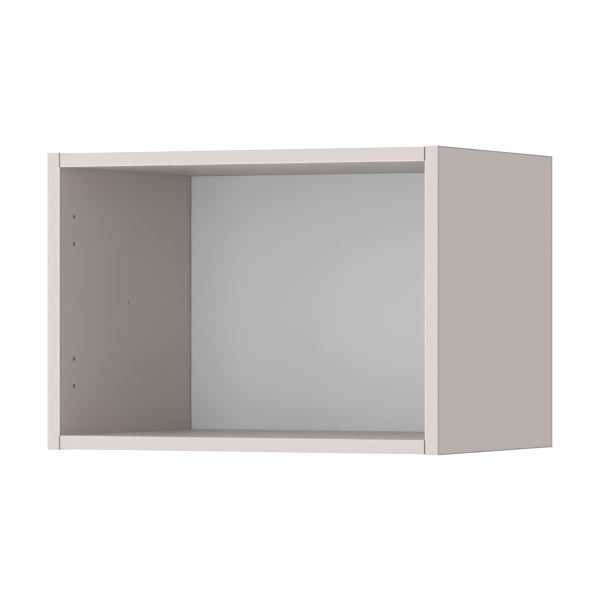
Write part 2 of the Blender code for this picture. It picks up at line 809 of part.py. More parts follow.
def make_hangers(material, parent):
    screw = screw_mesh()
    for side in (LEFT, RIGHT):
        make_hanging_plate(side, material, parent)
        for end, z in zip(("lower", "upper"), hanger_screw_heights()):
            name = f"{SIDE_NAMES[side]}_hanging_plate_{end}_screw"
            place_object(name, screw, material, rear_facing(side * SIDE_MIDDLE_X, z), parent)


def main():
    for obj in list(bpy.data.objects):
        bpy.data.objects.remove(obj)
    carcass = bpy.data.objects.new("carcass", None)
    bpy.context.scene.collection.objects.link(carcass)

    facing, band, steel = melamine(), edge_plastic(), plated_steel()
    for side in (LEFT, RIGHT):
        make_side_panel(side, facing, carcass)
    for level in (TOP, BOTTOM):
        make_level_panel(level, facing, carcass)
    make_back_panel(grey_hardboard(), carcass)
    make_front_bands(band, carcass)
    make_end_bands(band, carcass)
    make_joint_fittings(beech(), zinc_casting(), steel, carcass)
    make_nails(steel, carcass)
    make_hangers(steel, carcass)


main()
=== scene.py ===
"""Looks of the overhead cabinet carcass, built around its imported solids.

Metres, +Z up. X runs across the cabinet, -Y is its open front and +Y is the wall.
"""

import math

import bmesh
import bpy
from mathutils import Matrix, Vector


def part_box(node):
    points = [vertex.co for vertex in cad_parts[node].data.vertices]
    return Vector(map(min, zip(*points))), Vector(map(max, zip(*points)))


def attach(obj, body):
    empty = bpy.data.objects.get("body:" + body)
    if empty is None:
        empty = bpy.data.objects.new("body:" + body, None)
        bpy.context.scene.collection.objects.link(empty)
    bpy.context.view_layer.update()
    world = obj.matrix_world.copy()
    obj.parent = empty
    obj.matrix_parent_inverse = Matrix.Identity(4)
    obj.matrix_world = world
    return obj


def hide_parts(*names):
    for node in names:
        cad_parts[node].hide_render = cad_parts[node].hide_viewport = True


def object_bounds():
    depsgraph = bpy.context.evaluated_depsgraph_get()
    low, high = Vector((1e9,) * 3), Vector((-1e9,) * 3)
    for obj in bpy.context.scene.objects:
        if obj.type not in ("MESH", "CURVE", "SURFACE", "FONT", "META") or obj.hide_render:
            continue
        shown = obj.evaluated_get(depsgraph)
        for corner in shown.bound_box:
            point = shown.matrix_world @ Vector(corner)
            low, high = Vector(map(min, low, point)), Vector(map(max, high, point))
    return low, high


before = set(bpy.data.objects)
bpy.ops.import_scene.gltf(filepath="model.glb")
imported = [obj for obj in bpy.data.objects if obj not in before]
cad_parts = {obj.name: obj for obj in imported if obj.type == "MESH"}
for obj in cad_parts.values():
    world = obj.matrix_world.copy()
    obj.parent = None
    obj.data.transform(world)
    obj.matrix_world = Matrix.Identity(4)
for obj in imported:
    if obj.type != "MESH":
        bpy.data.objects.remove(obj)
cad_low, cad_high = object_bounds()

MM = 0.001


# Camera: far off to the right of the cabinet and level with its lower half, with a long lens
# whose picture is shifted a little, as a product photographer sets it to keep uprights upright.

CAMERA_PLACE = (2.17556, -4.67144, 0.15215)
CAMERA_TURN = math.radians(25.005)
CAMERA_LENS = 259.76
CAMERA_SENSOR = 36.0
CAMERA_SHIFT_UP = 0.03454

camera_data = bpy.data.cameras.new("camera")
camera_data.lens = CAMERA_LENS
camera_data.sensor_width = CAMERA_SENSOR
camera_data.shift_y = CAMERA_SHIFT_UP
camera = bpy.data.objects.new("camera", camera_data)
camera.location = CAMERA_PLACE
camera.rotation_euler = (math.pi / 2, 0, CAMERA_TURN)
bpy.context.scene.collection.objects.link(camera)
bpy.context.scene.camera = camera
bpy.context.scene.view_settings.view_transform = "Standard"


# Studio: a pale floor that glows faintly, far below the hanging cabinet, a white surround, a wide
# soft glow from above the cabinet's rear, and large soft lights that hang round it.

FLOOR_HEIGHT = -5.4
FLOOR_SIZE = 90.0
FLOOR_COLOUR = (0.86, 0.86, 0.86, 1)
FLOOR_ROUGHNESS = 0.9
FLOOR_GLOW = 0.35
SURROUND_COLOUR = (1, 1, 1, 1)
SURROUND_SHOWN = 1.05
SURROUND_LIGHT = 0.4
LIGHT_AIM = Vector((0, 0, 0.175))
GLOW_TURN = 180
GLOW_RISE = 60
GLOW_STRENGTH = 0.4
GLOW_SPREAD = math.radians(60)
# Each light's name, turn round the cabinet and rise in degrees, distance, width and power.
LIGHTS = (
    ("front_light", 5, 10, 5.0, 3.4, 47.5),
    ("front_right_light", 30, 10, 5.0, 3.4, 12.6),
    ("front_left_light", -45, 10, 5.0, 3.4, 38.0),
    ("high_front_light", 5, 45, 5.0, 3.4, 16.2),
    ("top_light", 0, 65, 5.0, 3.4, 62.0),
    ("right_light", 125, 10, 5.0, 3.4, 46.0),
    ("low_light", 0, -15, 2.4, 1.6, 7.0),
    ("low_left_light", -60, -15, 2.4, 1.6, 8.1),
)


class Wire:
    """One output of a node. Arithmetic on it adds Math nodes to its tree."""

    def __init__(self, graph, socket):
        self.graph = graph
        self.socket = socket

    def __add__(self, other):
        return self.graph.math("ADD", self, other)

    def __radd__(self, other):
        return self.graph.math("ADD", other, self)

    def __sub__(self, other):
        return self.graph.math("SUBTRACT", self, other)

    def __rsub__(self, other):
        return self.graph.math("SUBTRACT", other, self)

    def __mul__(self, other):
        return self.graph.math("MULTIPLY", self, other)

    def __rmul__(self, other):
        return self.graph.math("MULTIPLY", other, self)

    def __pow__(self, other):
        return self.graph.math("POWER", self, other)

    def __abs__(self):
        return self.graph.math("ABSOLUTE", self)

    def cosine(self):
        return self.graph.math("COSINE", self)

    def ramp(self, low, high):
        """Runs smoothly from 0 to 1 as this goes from low to high."""
        values = {"Value": self, "From Min": low, "From Max": high}
        return self.graph.add("ShaderNodeMapRange", {"interpolation_type": "SMOOTHSTEP"}, values)


class Graph:
    """A node tree whose nodes are all added in one way."""

    def __init__(self, tree):
        self.tree = tree

    def math(self, operation, *values):
        return self.add("ShaderNodeMath", {"operation": operation}, dict(enumerate(values)))

    def feed(self, socket, value):
        if isinstance(value, Wire):
            self.tree.links.new(value.socket, socket)
        else:
            socket.default_value = value

    def add(self, kind, settings=None, inputs=None, output=0):
        """Adds a node, makes its settings, then fills its sockets, and gives one of its outputs."""
        node = self.tree.nodes.new(kind)
        for name, value in (settings or {}).items():
            if name == "stops":
                for place, _ in value[1:-1]:
                    node.color_ramp.elements.new(place)
                for element, (place, colour) in zip(node.color_ramp.elements, value):
                    element.position = place
                    element.color = (*colour, 1)
            else:
                setattr(node, name, value)
        for name, value in (inputs or {}).items():
            self.feed(node.inputs[name], value)
        return Wire(self, node.outputs[output])


def new_object(name, contents):
    """An object in the scene, at the origin, that holds a mesh, a curve or a light."""
    piece = bpy.data.objects.new(name, contents)
    bpy.context.scene.collection.objects.link(piece)
    return piece


def mesh_from(name, shape):
    """A mesh made of the shapes in a bmesh, whose faces are turned outwards."""
    bmesh.ops.recalc_face_normals(shape, faces=shape.faces)
    mesh = bpy.data.meshes.new(name)
    shape.to_mesh(mesh)
    shape.free()
    return mesh


def dress(piece, material):
    """Gives the whole of a piece one material."""
    piece.data.materials.clear()
    piece.data.materials.append(material)


world = bpy.data.worlds.new("surround")
world.use_nodes = True
bpy.context.scene.world = world
surround = Graph(world.node_tree)
seen = surround.add("ShaderNodeLightPath", output="Is Camera Ray")
surround_shader = world.node_tree.nodes["Background"]
surround_shader.inputs["Color"].default_value = SURROUND_COLOUR
surround_strength = SURROUND_LIGHT + (SURROUND_SHOWN - SURROUND_LIGHT) * seen
surround.feed(surround_shader.inputs["Strength"], surround_strength)

floor_shape = bmesh.new()
bmesh.ops.create_grid(
    floor_shape,
    x_segments=1,
    y_segments=1,
    size=FLOOR_SIZE / 2,
    matrix=Matrix.Translation((0, 0, FLOOR_HEIGHT)),
)
floor = new_object("studio_floor", mesh_from("studio_floor", floor_shape))
floor_material = bpy.data.materials.new("pale_floor")
floor_material.use_nodes = True
floor_shader = floor_material.node_tree.nodes["Principled BSDF"]
floor_shader.inputs["Base Color"].default_value = FLOOR_COLOUR
floor_shader.inputs["Roughness"].default_value = FLOOR_ROUGHNESS
floor_shader.inputs["Emission Color"].default_value = FLOOR_COLOUR
floor_shader.inputs["Emission Strength"].default_value = FLOOR_GLOW
dress(floor, floor_material)


def hang_light(light_data, azimuth, elevation, distance):
    """Hangs a light round the cabinet and aims it there."""
    turn, rise = math.radians(azimuth), math.radians(elevation)
    away = Vector((math.sin(turn) * math.cos(rise), -math.cos(turn) * math.cos(rise), math.sin(rise)))
    light = new_object(light_data.name, light_data)
    light.location = LIGHT_AIM + distance * away
    light.rotation_euler = away.to_track_quat("Z", "Y").to_euler()
    light.visible_camera = False


glow = bpy.data.lights.new("rear_glow", "SUN")
glow.energy = GLOW_STRENGTH
glow.angle = GLOW_SPREAD
hang_light(glow, GLOW_TURN, GLOW_RISE, 0)

for name, azimuth, elevation, distance, width, power in LIGHTS:
    light_data = bpy.data.lights.new(name, "AREA")
    light_data.size = width
    light_data.energy = power
    hang_light(light_data, azimuth, elevation, distance)


# Boards: the sides, the top and the bottom are chipboard, coarse in the middle and fine at both
# faces, pressed between sheets of matte light warm grey melamine. The chips show where a board was
# sawn or rebated, painted dark in the bores as shade and drill burnish. The facing's rim is ragged
# and painted dark: shade where it meets a band or another board, a darker strip along the sides'
# open rear edges. The core at the front edge is dark with glue and painted shade.

ACROSS, DEEP, UPRIGHT = 0, 1, 2

FACING_COLOUR = (0.577, 0.519, 0.496)
FACING_THICKNESS = 0.25 * MM
FACING_GRAIN = 0.9 * MM
FACING_GRAIN_HEIGHT = 0.012 * MM
FACING_CLOUD = 60 * MM
FACING_ROUGHNESS = 0.38
FACING_GRAIN_ROUGHNESS = 0.10
FACING_SOFTNESS = 0.2
FAINT_TONE = 0.985
FAINT_BROAD_TONE = 0.02
FAINT_FINE_TONE = 0.01
FINE_CHIP = 0.45 * MM
COARSE_CHIP = 1.3 * MM
COARSE_FULL_SHARE = 0.45
COARSE_GONE_SHARE = 0.75
CHIP_FLATNESS = 0.3
CHIPS_PER_SWIRL = 2
CHIP_BEND = 1.2
FIBRES_PER_CHIP = 5
CHIP_OWN_TONE = 0.65
CHIP_FIBRE_TONE = 0.7
CHIP_DARKENING = 0.18
CHIP_GAP = 0.09
CHIP_GAP_SHADE = 0.22
CHIP_PIT_DEPTH = 0.08 * MM
CHIP_ROUGHNESS = 0.85
CHIP_COLOURS = ((0.13, 0.070, 0.035), (0.33, 0.21, 0.12), (0.48, 0.34, 0.20), (0.62, 0.48, 0.31))
CHIP_COLOUR_SHARES = (0.0, 0.25, 0.65, 1.0)
# Painted shade in the bores, with drill burnish.
BORE_SHADE_AND_BURNISH_COLOUR = (0.150, 0.132, 0.135, 1)
BORE_SHARE = 0.58
BORE_START = 4.5 * MM
BORE_FADE_SHARE = 0.9
# The facing's rim and the core at the front edge are painted dark: shade where a board meets a band or
# another board, glue under the front band, and a darker strip along the sides' open rear edges.
RIM_SHADE_AND_GLUE_COLOUR = (0.15, 0.11, 0.09, 1)
RIM_AT_FRONT = 2.0 * MM
RIM_AT_OPEN_REAR = 4.5 * MM
RIM_AT_REAR_SHARE = 0.45
RIM_AT_BANDED_ENDS = 0.25 * MM
RIM_AT_JOINTS = 0.8 * MM
RIM_CORE_AT_ENDS = 0.7
RIM_CORE_AT_REAR = 0.5
RIM_CHIP = 0.5 * MM
RIM_RAGGEDNESS = 0.5
RIM_ROUGHNESS = 0.35
GLUE_DEPTH = 0.1 * MM
GLUE_CORE_SHARE = 0.5


class Finish(Graph):
    """A material's node tree, which reads places in the object's own coordinates."""

    def __init__(self, name):
        self.material = bpy.data.materials.new(name)
        self.material.use_nodes = True
        super().__init__(self.material.node_tree)
        self.place = self.add("ShaderNodeTexCoord", output="Object")

    def along(self, axis):
        return self.add("ShaderNodeSeparateXYZ", inputs={"Vector": self.place}, output=axis)

    def shrunk(self, shares):
        """Places with each axis scaled by its share, which draws a pattern out along a small one."""
        return self.add("ShaderNodeVectorMath", {"operation": "MULTIPLY"}, {0: self.place, 1: shares})

    def noise(self, size, detail, place=None):
        """Soft noise from 0 to 1 whose blots are about this many metres across."""
        inputs = {"Vector": place or self.place, "Scale": 1 / size, "Detail": detail}
        return self.add("ShaderNodeTexNoise", inputs=inputs)

    def mixed(self, factor, first, second):
        """A colour that runs from the first to the second with the factor."""
        colours = {"Factor": factor, "A": first, "B": second}
        return self.add("ShaderNodeMix", {"data_type": "RGBA"}, colours, "Result")

    def toned(self, colour, value):
        """A colour made darker or lighter by a value round 1."""
        grey = self.add("ShaderNodeCombineXYZ", inputs={"X": value, "Y": value, "Z": value})
        return self.add("ShaderNodeVectorMath", {"operation": "MULTIPLY"}, {0: colour, 1: grey})

    def faint(self, broad, fine):
        """A tone just under 1, with a faint broad pattern and a fainter fine one."""
        return FAINT_TONE + FAINT_BROAD_TONE * broad + FAINT_FINE_TONE * fine

    def bumped(self, height, proud):
        """A normal that follows a height from 0 to 1, where 1 stands this many metres proud."""
        return self.add("ShaderNodeBump", inputs={"Height": height, "Distance": proud})

    def coat(self, colour, roughness, normal, metallic=0.0):
        """A surface of one kind."""
        inputs = {"Base Color": colour, "Roughness": roughness, "Metallic": metallic, "Normal": normal}
        return self.add("ShaderNodeBsdfPrincipled", inputs=inputs)

    def covered(self, factor, under, over):
        """One surface where the factor is 0 and another where it is 1."""
        return self.add("ShaderNodeMixShader", inputs={"Fac": factor, 1: under, 2: over})

    def done(self, surface):
        self.feed(self.tree.nodes["Material Output"].inputs["Surface"], surface)
        return self.material


def span(low, high, axis):
    """The middle of a box along an axis, and half its length there."""
    return (low[axis] + high[axis]) / 2, (high[axis] - low[axis]) / 2


# The rim this gives is painted dark, as shade where the facing meets a band or another board.
def ragged_rim(finish, from_front, rear_steps, end_steps):
    """1 on the very rim of the facing, less further in and along the rear, and 0 elsewhere.

    The distances from the rear and from the ends are in steps, each as wide as the rim there.
    """
    ragged = RIM_RAGGEDNESS * (finish.noise(RIM_CHIP, detail=2) - 0.5)
    front = 1 - (from_front * (1 / RIM_AT_FRONT) + ragged).ramp(0, 1)
    end = 1 - (end_steps + ragged).ramp(RIM_CORE_AT_ENDS, 1)
    rear = 1 - (rear_steps + ragged).ramp(RIM_CORE_AT_REAR, 1)
    return finish.math("MAXIMUM", finish.math("MAXIMUM", front, end), RIM_AT_REAR_SHARE * rear)


def facing(finish, rim):
    """Melamine with the clouds of printed paper and the pearl grain of its press plate."""
    pearl = finish.noise(FACING_GRAIN, detail=3)
    cloud = finish.noise(FACING_CLOUD, detail=3)
    sheet = finish.toned(FACING_COLOUR, finish.faint(cloud, pearl))
    roughness = FACING_ROUGHNESS + FACING_GRAIN_ROUGHNESS * pearl + RIM_ROUGHNESS * rim
    height = finish.bumped(pearl, FACING_GRAIN_HEIGHT)
    # The facing's rim is painted dark, as shade where it meets a band or another board.
    return finish.coat(finish.mixed(rim, sheet, RIM_SHADE_AND_GLUE_COLOUR), roughness, height)


def chips(finish, size, axis):
    """Bent flat chips, each with its own brown, and how far a point is from the gaps between them."""
    place = finish.shrunk([1 if each == axis else CHIP_FLATNESS for each in range(3)])
    swirl = {"Vector": place, "Scale": 1 / (CHIPS_PER_SWIRL * size), "Detail": 3}
    bend = finish.add("ShaderNodeTexNoise", inputs=swirl, output="Color")
    reach = (CHIP_BEND * size, CHIP_BEND * size, CHIP_BEND * size)
    bending = {0: bend, 1: reach, 2: place}
    bent = finish.add("ShaderNodeVectorMath", {"operation": "MULTIPLY_ADD"}, bending)
    pattern = {"Vector": bent, "Scale": 1 / size}
    tone = finish.add("ShaderNodeTexVoronoi", inputs=pattern, output="Color")
    own = finish.add("ShaderNodeSeparateColor", inputs={"Color": tone})
    fibre = finish.noise(size / FIBRES_PER_CHIP, detail=4, place=bent)
    wood = finish.add(
        "ShaderNodeValToRGB",
        {"stops": list(zip(CHIP_COLOUR_SHARES, CHIP_COLOURS))},
        {"Fac": CHIP_OWN_TONE * own + CHIP_FIBRE_TONE * fibre - CHIP_DARKENING},
    )
    gap = finish.add("ShaderNodeTexVoronoi", {"feature": "DISTANCE_TO_EDGE"}, pattern)
    return wood, gap.ramp(0, CHIP_GAP)


def faced_chipboard(node, axis, length_axis):
    """The finish of a board that is thin along one axis and long along another."""
    low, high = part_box(node)
    middle, half = span(low, high, axis)
    length_middle, length_half = span(low, high, length_axis)
    finish = Finish(node + "_faced_chipboard")
    from_middle = abs(finish.along(axis) - middle)
    coarse = 1 - from_middle.ramp(COARSE_FULL_SHARE * half, COARSE_GONE_SHARE * half)
    fine_wood, fine_solid = chips(finish, FINE_CHIP, axis)
    coarse_wood, coarse_solid = chips(finish, COARSE_CHIP, axis)
    solid = fine_solid + coarse * (coarse_solid - fine_solid)
    from_front, from_rear = finish.along(DEEP) - low.y, high.y - finish.along(DEEP)
    from_end = length_half - abs(finish.along(length_axis) - length_middle)
    from_edge = finish.math("MINIMUM", finish.math("MINIMUM", from_front, from_rear), from_end)
    # Painted shade in the bores, with drill burnish: core more than a few millimetres from every edge
    # is darkened.
    bore_shade_and_burnish = BORE_SHARE * from_edge.ramp(BORE_FADE_SHARE * BORE_START, BORE_START)
    # The core at the front edge, seen in the gap between the bands, is darkened as glue and painted
    # shade.
    glue_and_gap_shade = 1 - from_front.ramp(GLUE_CORE_SHARE * GLUE_DEPTH, GLUE_DEPTH)
    wood = finish.mixed(coarse, fine_wood, coarse_wood)
    wood = finish.toned(wood, 1 - CHIP_GAP_SHADE + CHIP_GAP_SHADE * solid)
    colour = finish.mixed(glue_and_gap_shade, finish.mixed(bore_shade_and_burnish, wood, BORE_SHADE_AND_BURNISH_COLOUR), RIM_SHADE_AND_GLUE_COLOUR)
    core = finish.coat(colour, CHIP_ROUGHNESS, finish.bumped(solid, CHIP_PIT_DEPTH))
    sheet_start = half - (1 + FACING_SOFTNESS) * FACING_THICKNESS
    sheet = from_middle.ramp(sheet_start, half - (1 - FACING_SOFTNESS) * FACING_THICKNESS)
    is_side = axis == ACROSS
    rear_reach = RIM_AT_OPEN_REAR if is_side else RIM_AT_JOINTS
    end_reach = RIM_AT_BANDED_ENDS if is_side else RIM_AT_JOINTS
    rim = ragged_rim(finish, from_front, from_rear * (1 / rear_reach), from_end * (1 / end_reach))
    return finish.done(finish.covered(sheet, core, facing(finish, rim)))


for node, axis, length_axis in (
    ("left_side_panel", ACROSS, UPRIGHT),
    ("right_side_panel", ACROSS, UPRIGHT),
    ("top_panel", UPRIGHT, ACROSS),
    ("bottom_panel", UPRIGHT, ACROSS),
):
    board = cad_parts[node]
    dress(board, faced_chipboard(node, axis, length_axis))


# Edge bands: strips of plastic in the colour of the facing, glued to the front of every board and
# to both ends of each side. Their edges are scraped round. The inner ones are painted pale, as
# scraped plastic and as a painted highlight, and the outer ones darker. Where the bands meet at a
# joint they carry painted shade. The bands of the top and bottom panels end just short of a side.

BAND_COLOUR = (0.603, 0.553, 0.538, 1)
# Inner edges: pale scraped plastic, made paler still as a painted highlight.
BAND_SCRAPED_AND_HIGHLIGHT_COLOUR = (0.905, 0.875, 0.855, 1)
BAND_BARELY_SCRAPED_AND_HIGHLIGHT_COLOUR = (0.74, 0.70, 0.68, 1)
BAND_OUTER_EDGE_COLOUR = (0.54, 0.50, 0.48, 1)
BAND_OUTER_END_COLOUR = (0.38, 0.34, 0.32, 1)
# Painted shade where the bands meet at a joint.
BAND_JOINT_SHADE_COLOUR = (0.325, 0.290, 0.272, 1)
BAND_JOINT_REACH = 0.3 * MM
BAND_SCRAPED_REACH = 1.0 * MM
BAND_OUTER_REACH = 1.1 * MM
BAND_JOINT_CORE_SHARE = 0.3
BAND_SCRAPED_CORE_SHARE = 0.5
BAND_OUTER_CORE_SHARE = 0.6
BAND_END_GAP = 0.5 * MM
BAND_EDGE_RADIUS = 0.6 * MM
BAND_EDGE_STEPS = 6
BAND_EDGE_ROUNDNESS = 0.5
BAND_GRAIN = 0.7 * MM
BAND_GRAIN_HEIGHT = 0.010 * MM
BAND_STREAK = 2.5 * MM
BAND_STREAK_SHARE = 0.02
BAND_STREAK_HEIGHT_SHARE = 0.6
BAND_ROUGHNESS = 0.34
BAND_GRAIN_ROUGHNESS = 0.08
BAND_SCRAPED_ROUGHNESS = 0.10
BAND_OUTER_ROUGHNESS = 0.2
REBATE_OVERRUN = 2 * MM
BACK_EDGE_GAP = 0.3 * MM


def band_plastic(name, low, high, length_axis):
    """Extruded plastic with a fine embossed grain, streaked along its length, and scraped edges.

    The outer edge of the right side's band is not darkened, and the inner edge of the bottom one
    carries a fainter pale edge and painted highlight.
    """
    finish = Finish(name)
    shares = [BAND_STREAK_SHARE if axis == length_axis else 1 for axis in range(3)]
    streak = finish.noise(BAND_STREAK, detail=3, place=finish.shrunk(shares))
    grain = finish.noise(BAND_GRAIN, detail=3)
    width_axis = UPRIGHT if length_axis == ACROSS else ACROSS
    centre = (cad_low + cad_high) / 2
    middle, half = span(low, high, width_axis)
    outward = math.copysign(1, middle - centre[width_axis])
    from_middle = (finish.along(width_axis) - middle) * outward
    inner_end = half - BAND_SCRAPED_CORE_SHARE * BAND_SCRAPED_REACH
    inner = (-1 * from_middle).ramp(half - BAND_SCRAPED_REACH, inner_end)
    outer_end = half - BAND_OUTER_CORE_SHARE * BAND_OUTER_REACH
    outer = from_middle.ramp(half - BAND_OUTER_REACH, outer_end)
    from_centre = abs(finish.along(length_axis) - centre[length_axis])
    # The joint mask paints shade on a band where it meets another band at a joint.
    if length_axis == ACROSS:
        joint_end = high.x - BAND_JOINT_CORE_SHARE * BAND_JOINT_REACH
        joint = from_centre.ramp(high.x - BAND_JOINT_REACH, joint_end)
    elif length_axis == UPRIGHT:
        joint_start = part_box("top_panel")[0].z - centre.z
        joint = inner * from_centre.ramp(joint_start, joint_start + BAND_JOINT_REACH)
    else:
        joint = 0.0
    # Inner edges are painted pale, as scraped plastic and as a painted highlight.
    inner_scraped_and_highlight_colour = BAND_SCRAPED_AND_HIGHLIGHT_COLOUR
    outer_colour = BAND_OUTER_END_COLOUR if length_axis == DEEP else BAND_OUTER_EDGE_COLOUR
    if length_axis == ACROSS and outward < 0:
        inner_scraped_and_highlight_colour = BAND_BARELY_SCRAPED_AND_HIGHLIGHT_COLOUR
    if length_axis == UPRIGHT and outward > 0:
        outer_colour = BAND_COLOUR
    colour = finish.mixed(outer, finish.mixed(inner, BAND_COLOUR, inner_scraped_and_highlight_colour), outer_colour)
    colour = finish.mixed(joint, colour, BAND_JOINT_SHADE_COLOUR)
    roughness = (
        BAND_ROUGHNESS
        + BAND_GRAIN_ROUGHNESS * grain
        + BAND_SCRAPED_ROUGHNESS * inner
        + BAND_OUTER_ROUGHNESS * outer
    )
    height = finish.bumped(grain + BAND_STREAK_HEIGHT_SHARE * streak, BAND_GRAIN_HEIGHT)
    toned = finish.toned(colour, finish.faint(streak, grain))
    return finish.done(finish.coat(toned, roughness, height))


def add_block(shape, low, high):
    """A cuboid between its lowest and highest corners."""
    stretch = Matrix.Diagonal((*(high - low), 1))
    bmesh.ops.create_cube(shape, size=1, matrix=Matrix.Translation((low + high) / 2) @ stretch)


def strip_mesh(name, low, high, length_axis, outward):
    """A flat strip between two corners, with the long edges of its outward face rounded."""
    shape = bmesh.new()
    add_block(shape, low, high)
    edges = []
    for edge in shape.edges:
        first, second = (corner.co for corner in edge.verts)
        is_long = abs((second - first)[length_axis]) > (high - low)[length_axis] / 2
        if is_long and ((first + second) / 2 - (low + high) / 2).dot(outward) > 0:
            edges.append(edge)
    bmesh.ops.bevel(
        shape,
        geom=edges,
        offset=BAND_EDGE_RADIUS,
        segments=BAND_EDGE_STEPS,
        profile=BAND_EDGE_ROUNDNESS,
        affect="EDGES",
    )
    return mesh_from(name, shape)


def settled(piece):
    """Turns a piece's modifiers into its own mesh and takes them off."""
    evaluated = piece.evaluated_get(bpy.context.evaluated_depsgraph_get())
    mesh = bpy.data.meshes.new_from_object(evaluated)
    piece.modifiers.clear()
    piece.data = mesh


def cut_away(piece, *shapes):
    """Takes closed shapes out of a piece, one after the other."""
    cutters = [new_object("cutter", mesh_from("cutter", shape)) for shape in shapes]
    for cutter in cutters:
        modifier = piece.modifiers.new(cutter.name, "BOOLEAN")
        modifier.operation = "DIFFERENCE"
        modifier.solver = "EXACT"
        modifier.object = cutter
    settled(piece)
    for cutter in cutters:
        bpy.data.objects.remove(cutter)


def smoothed(piece, angle):
    """Shades a piece smooth, apart from edges sharper than the angle."""
    piece.data.shade_smooth()
    piece.data.set_sharp_from_angle(angle=angle)


SMOOTH_ANGLE = math.radians(35)
FORWARD, UP, DOWN = Vector((0, -1, 0)), Vector((0, 0, 1)), Vector((0, 0, -1))
rebate_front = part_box("top_panel")[1].y
rebate_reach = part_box("back_panel")[1].x + BACK_EDGE_GAP

for node, length_axis, outward in (
    ("left_side_front_band", UPRIGHT, FORWARD),
    ("right_side_front_band", UPRIGHT, FORWARD),
    ("top_panel_front_band", ACROSS, FORWARD),
    ("bottom_panel_front_band", ACROSS, FORWARD),
    ("left_side_top_band", DEEP, UP),
    ("left_side_bottom_band", DEEP, DOWN),
    ("right_side_top_band", DEEP, UP),
    ("right_side_bottom_band", DEEP, DOWN),
):
    low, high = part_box(node)
    if length_axis == ACROSS:
        low.x += BAND_END_GAP
        high.x -= BAND_END_GAP
    band = new_object(node + "_strip", strip_mesh(node + "_strip", low, high, length_axis, outward))
    dress(band, band_plastic(node + "_plastic", low, high, length_axis))
    if length_axis == DEEP:
        rebate = bmesh.new()
        near = Vector((-rebate_reach, rebate_front, low.z - REBATE_OVERRUN))
        far = Vector((rebate_reach, high.y + REBATE_OVERRUN, high.z + REBATE_OVERRUN))
        add_block(rebate, near, far)
        cut_away(band, rebate)
    smoothed(band, SMOOTH_ANGLE)
    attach(band, "carcass")
    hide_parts(node)


# Dowels: fluted beech pegs, glued halfway into the sides and plugged into the ends of the top and
# bottom panels. Their straight flutes let the glue and the air out, and their ends are chamfered.

DOWEL_CHAMFER = 1.0 * MM
DOWEL_FLUTES = 22
DOWEL_FLUTE_DEPTH = 0.30 * MM
DOWEL_FLUTE_CREST = 0.6
DOWEL_SIDES = 132
DOWEL_BARREL_STEPS = 8
DOWEL_SMOOTH_ANGLE = math.radians(50)
BEECH_COLOURS = ((0.43, 0.26, 0.13, 1), (0.66, 0.46, 0.28, 1))
BEECH_FLECK_COLOUR = (0.28, 0.15, 0.07, 1)
BEECH_GRAIN = 1.1 * MM
BEECH_GRAIN_SHARE = 0.05
BEECH_GRAIN_LEVELS = (0.3, 0.7)
BEECH_FLECK = 0.5 * MM
BEECH_FLECK_SHARE = 0.25
BEECH_FLECK_LEVELS = (0.62, 0.72)
BEECH_FLECK_STRENGTH = 0.6
BEECH_GRAIN_HEIGHT = 0.03 * MM
BEECH_FLECK_HEIGHT_SHARE = 0.5
BEECH_ROUGHNESS = 0.62
BEECH_GRAIN_ROUGHNESS = 0.15
MERGE_REACH = 0.001 * MM


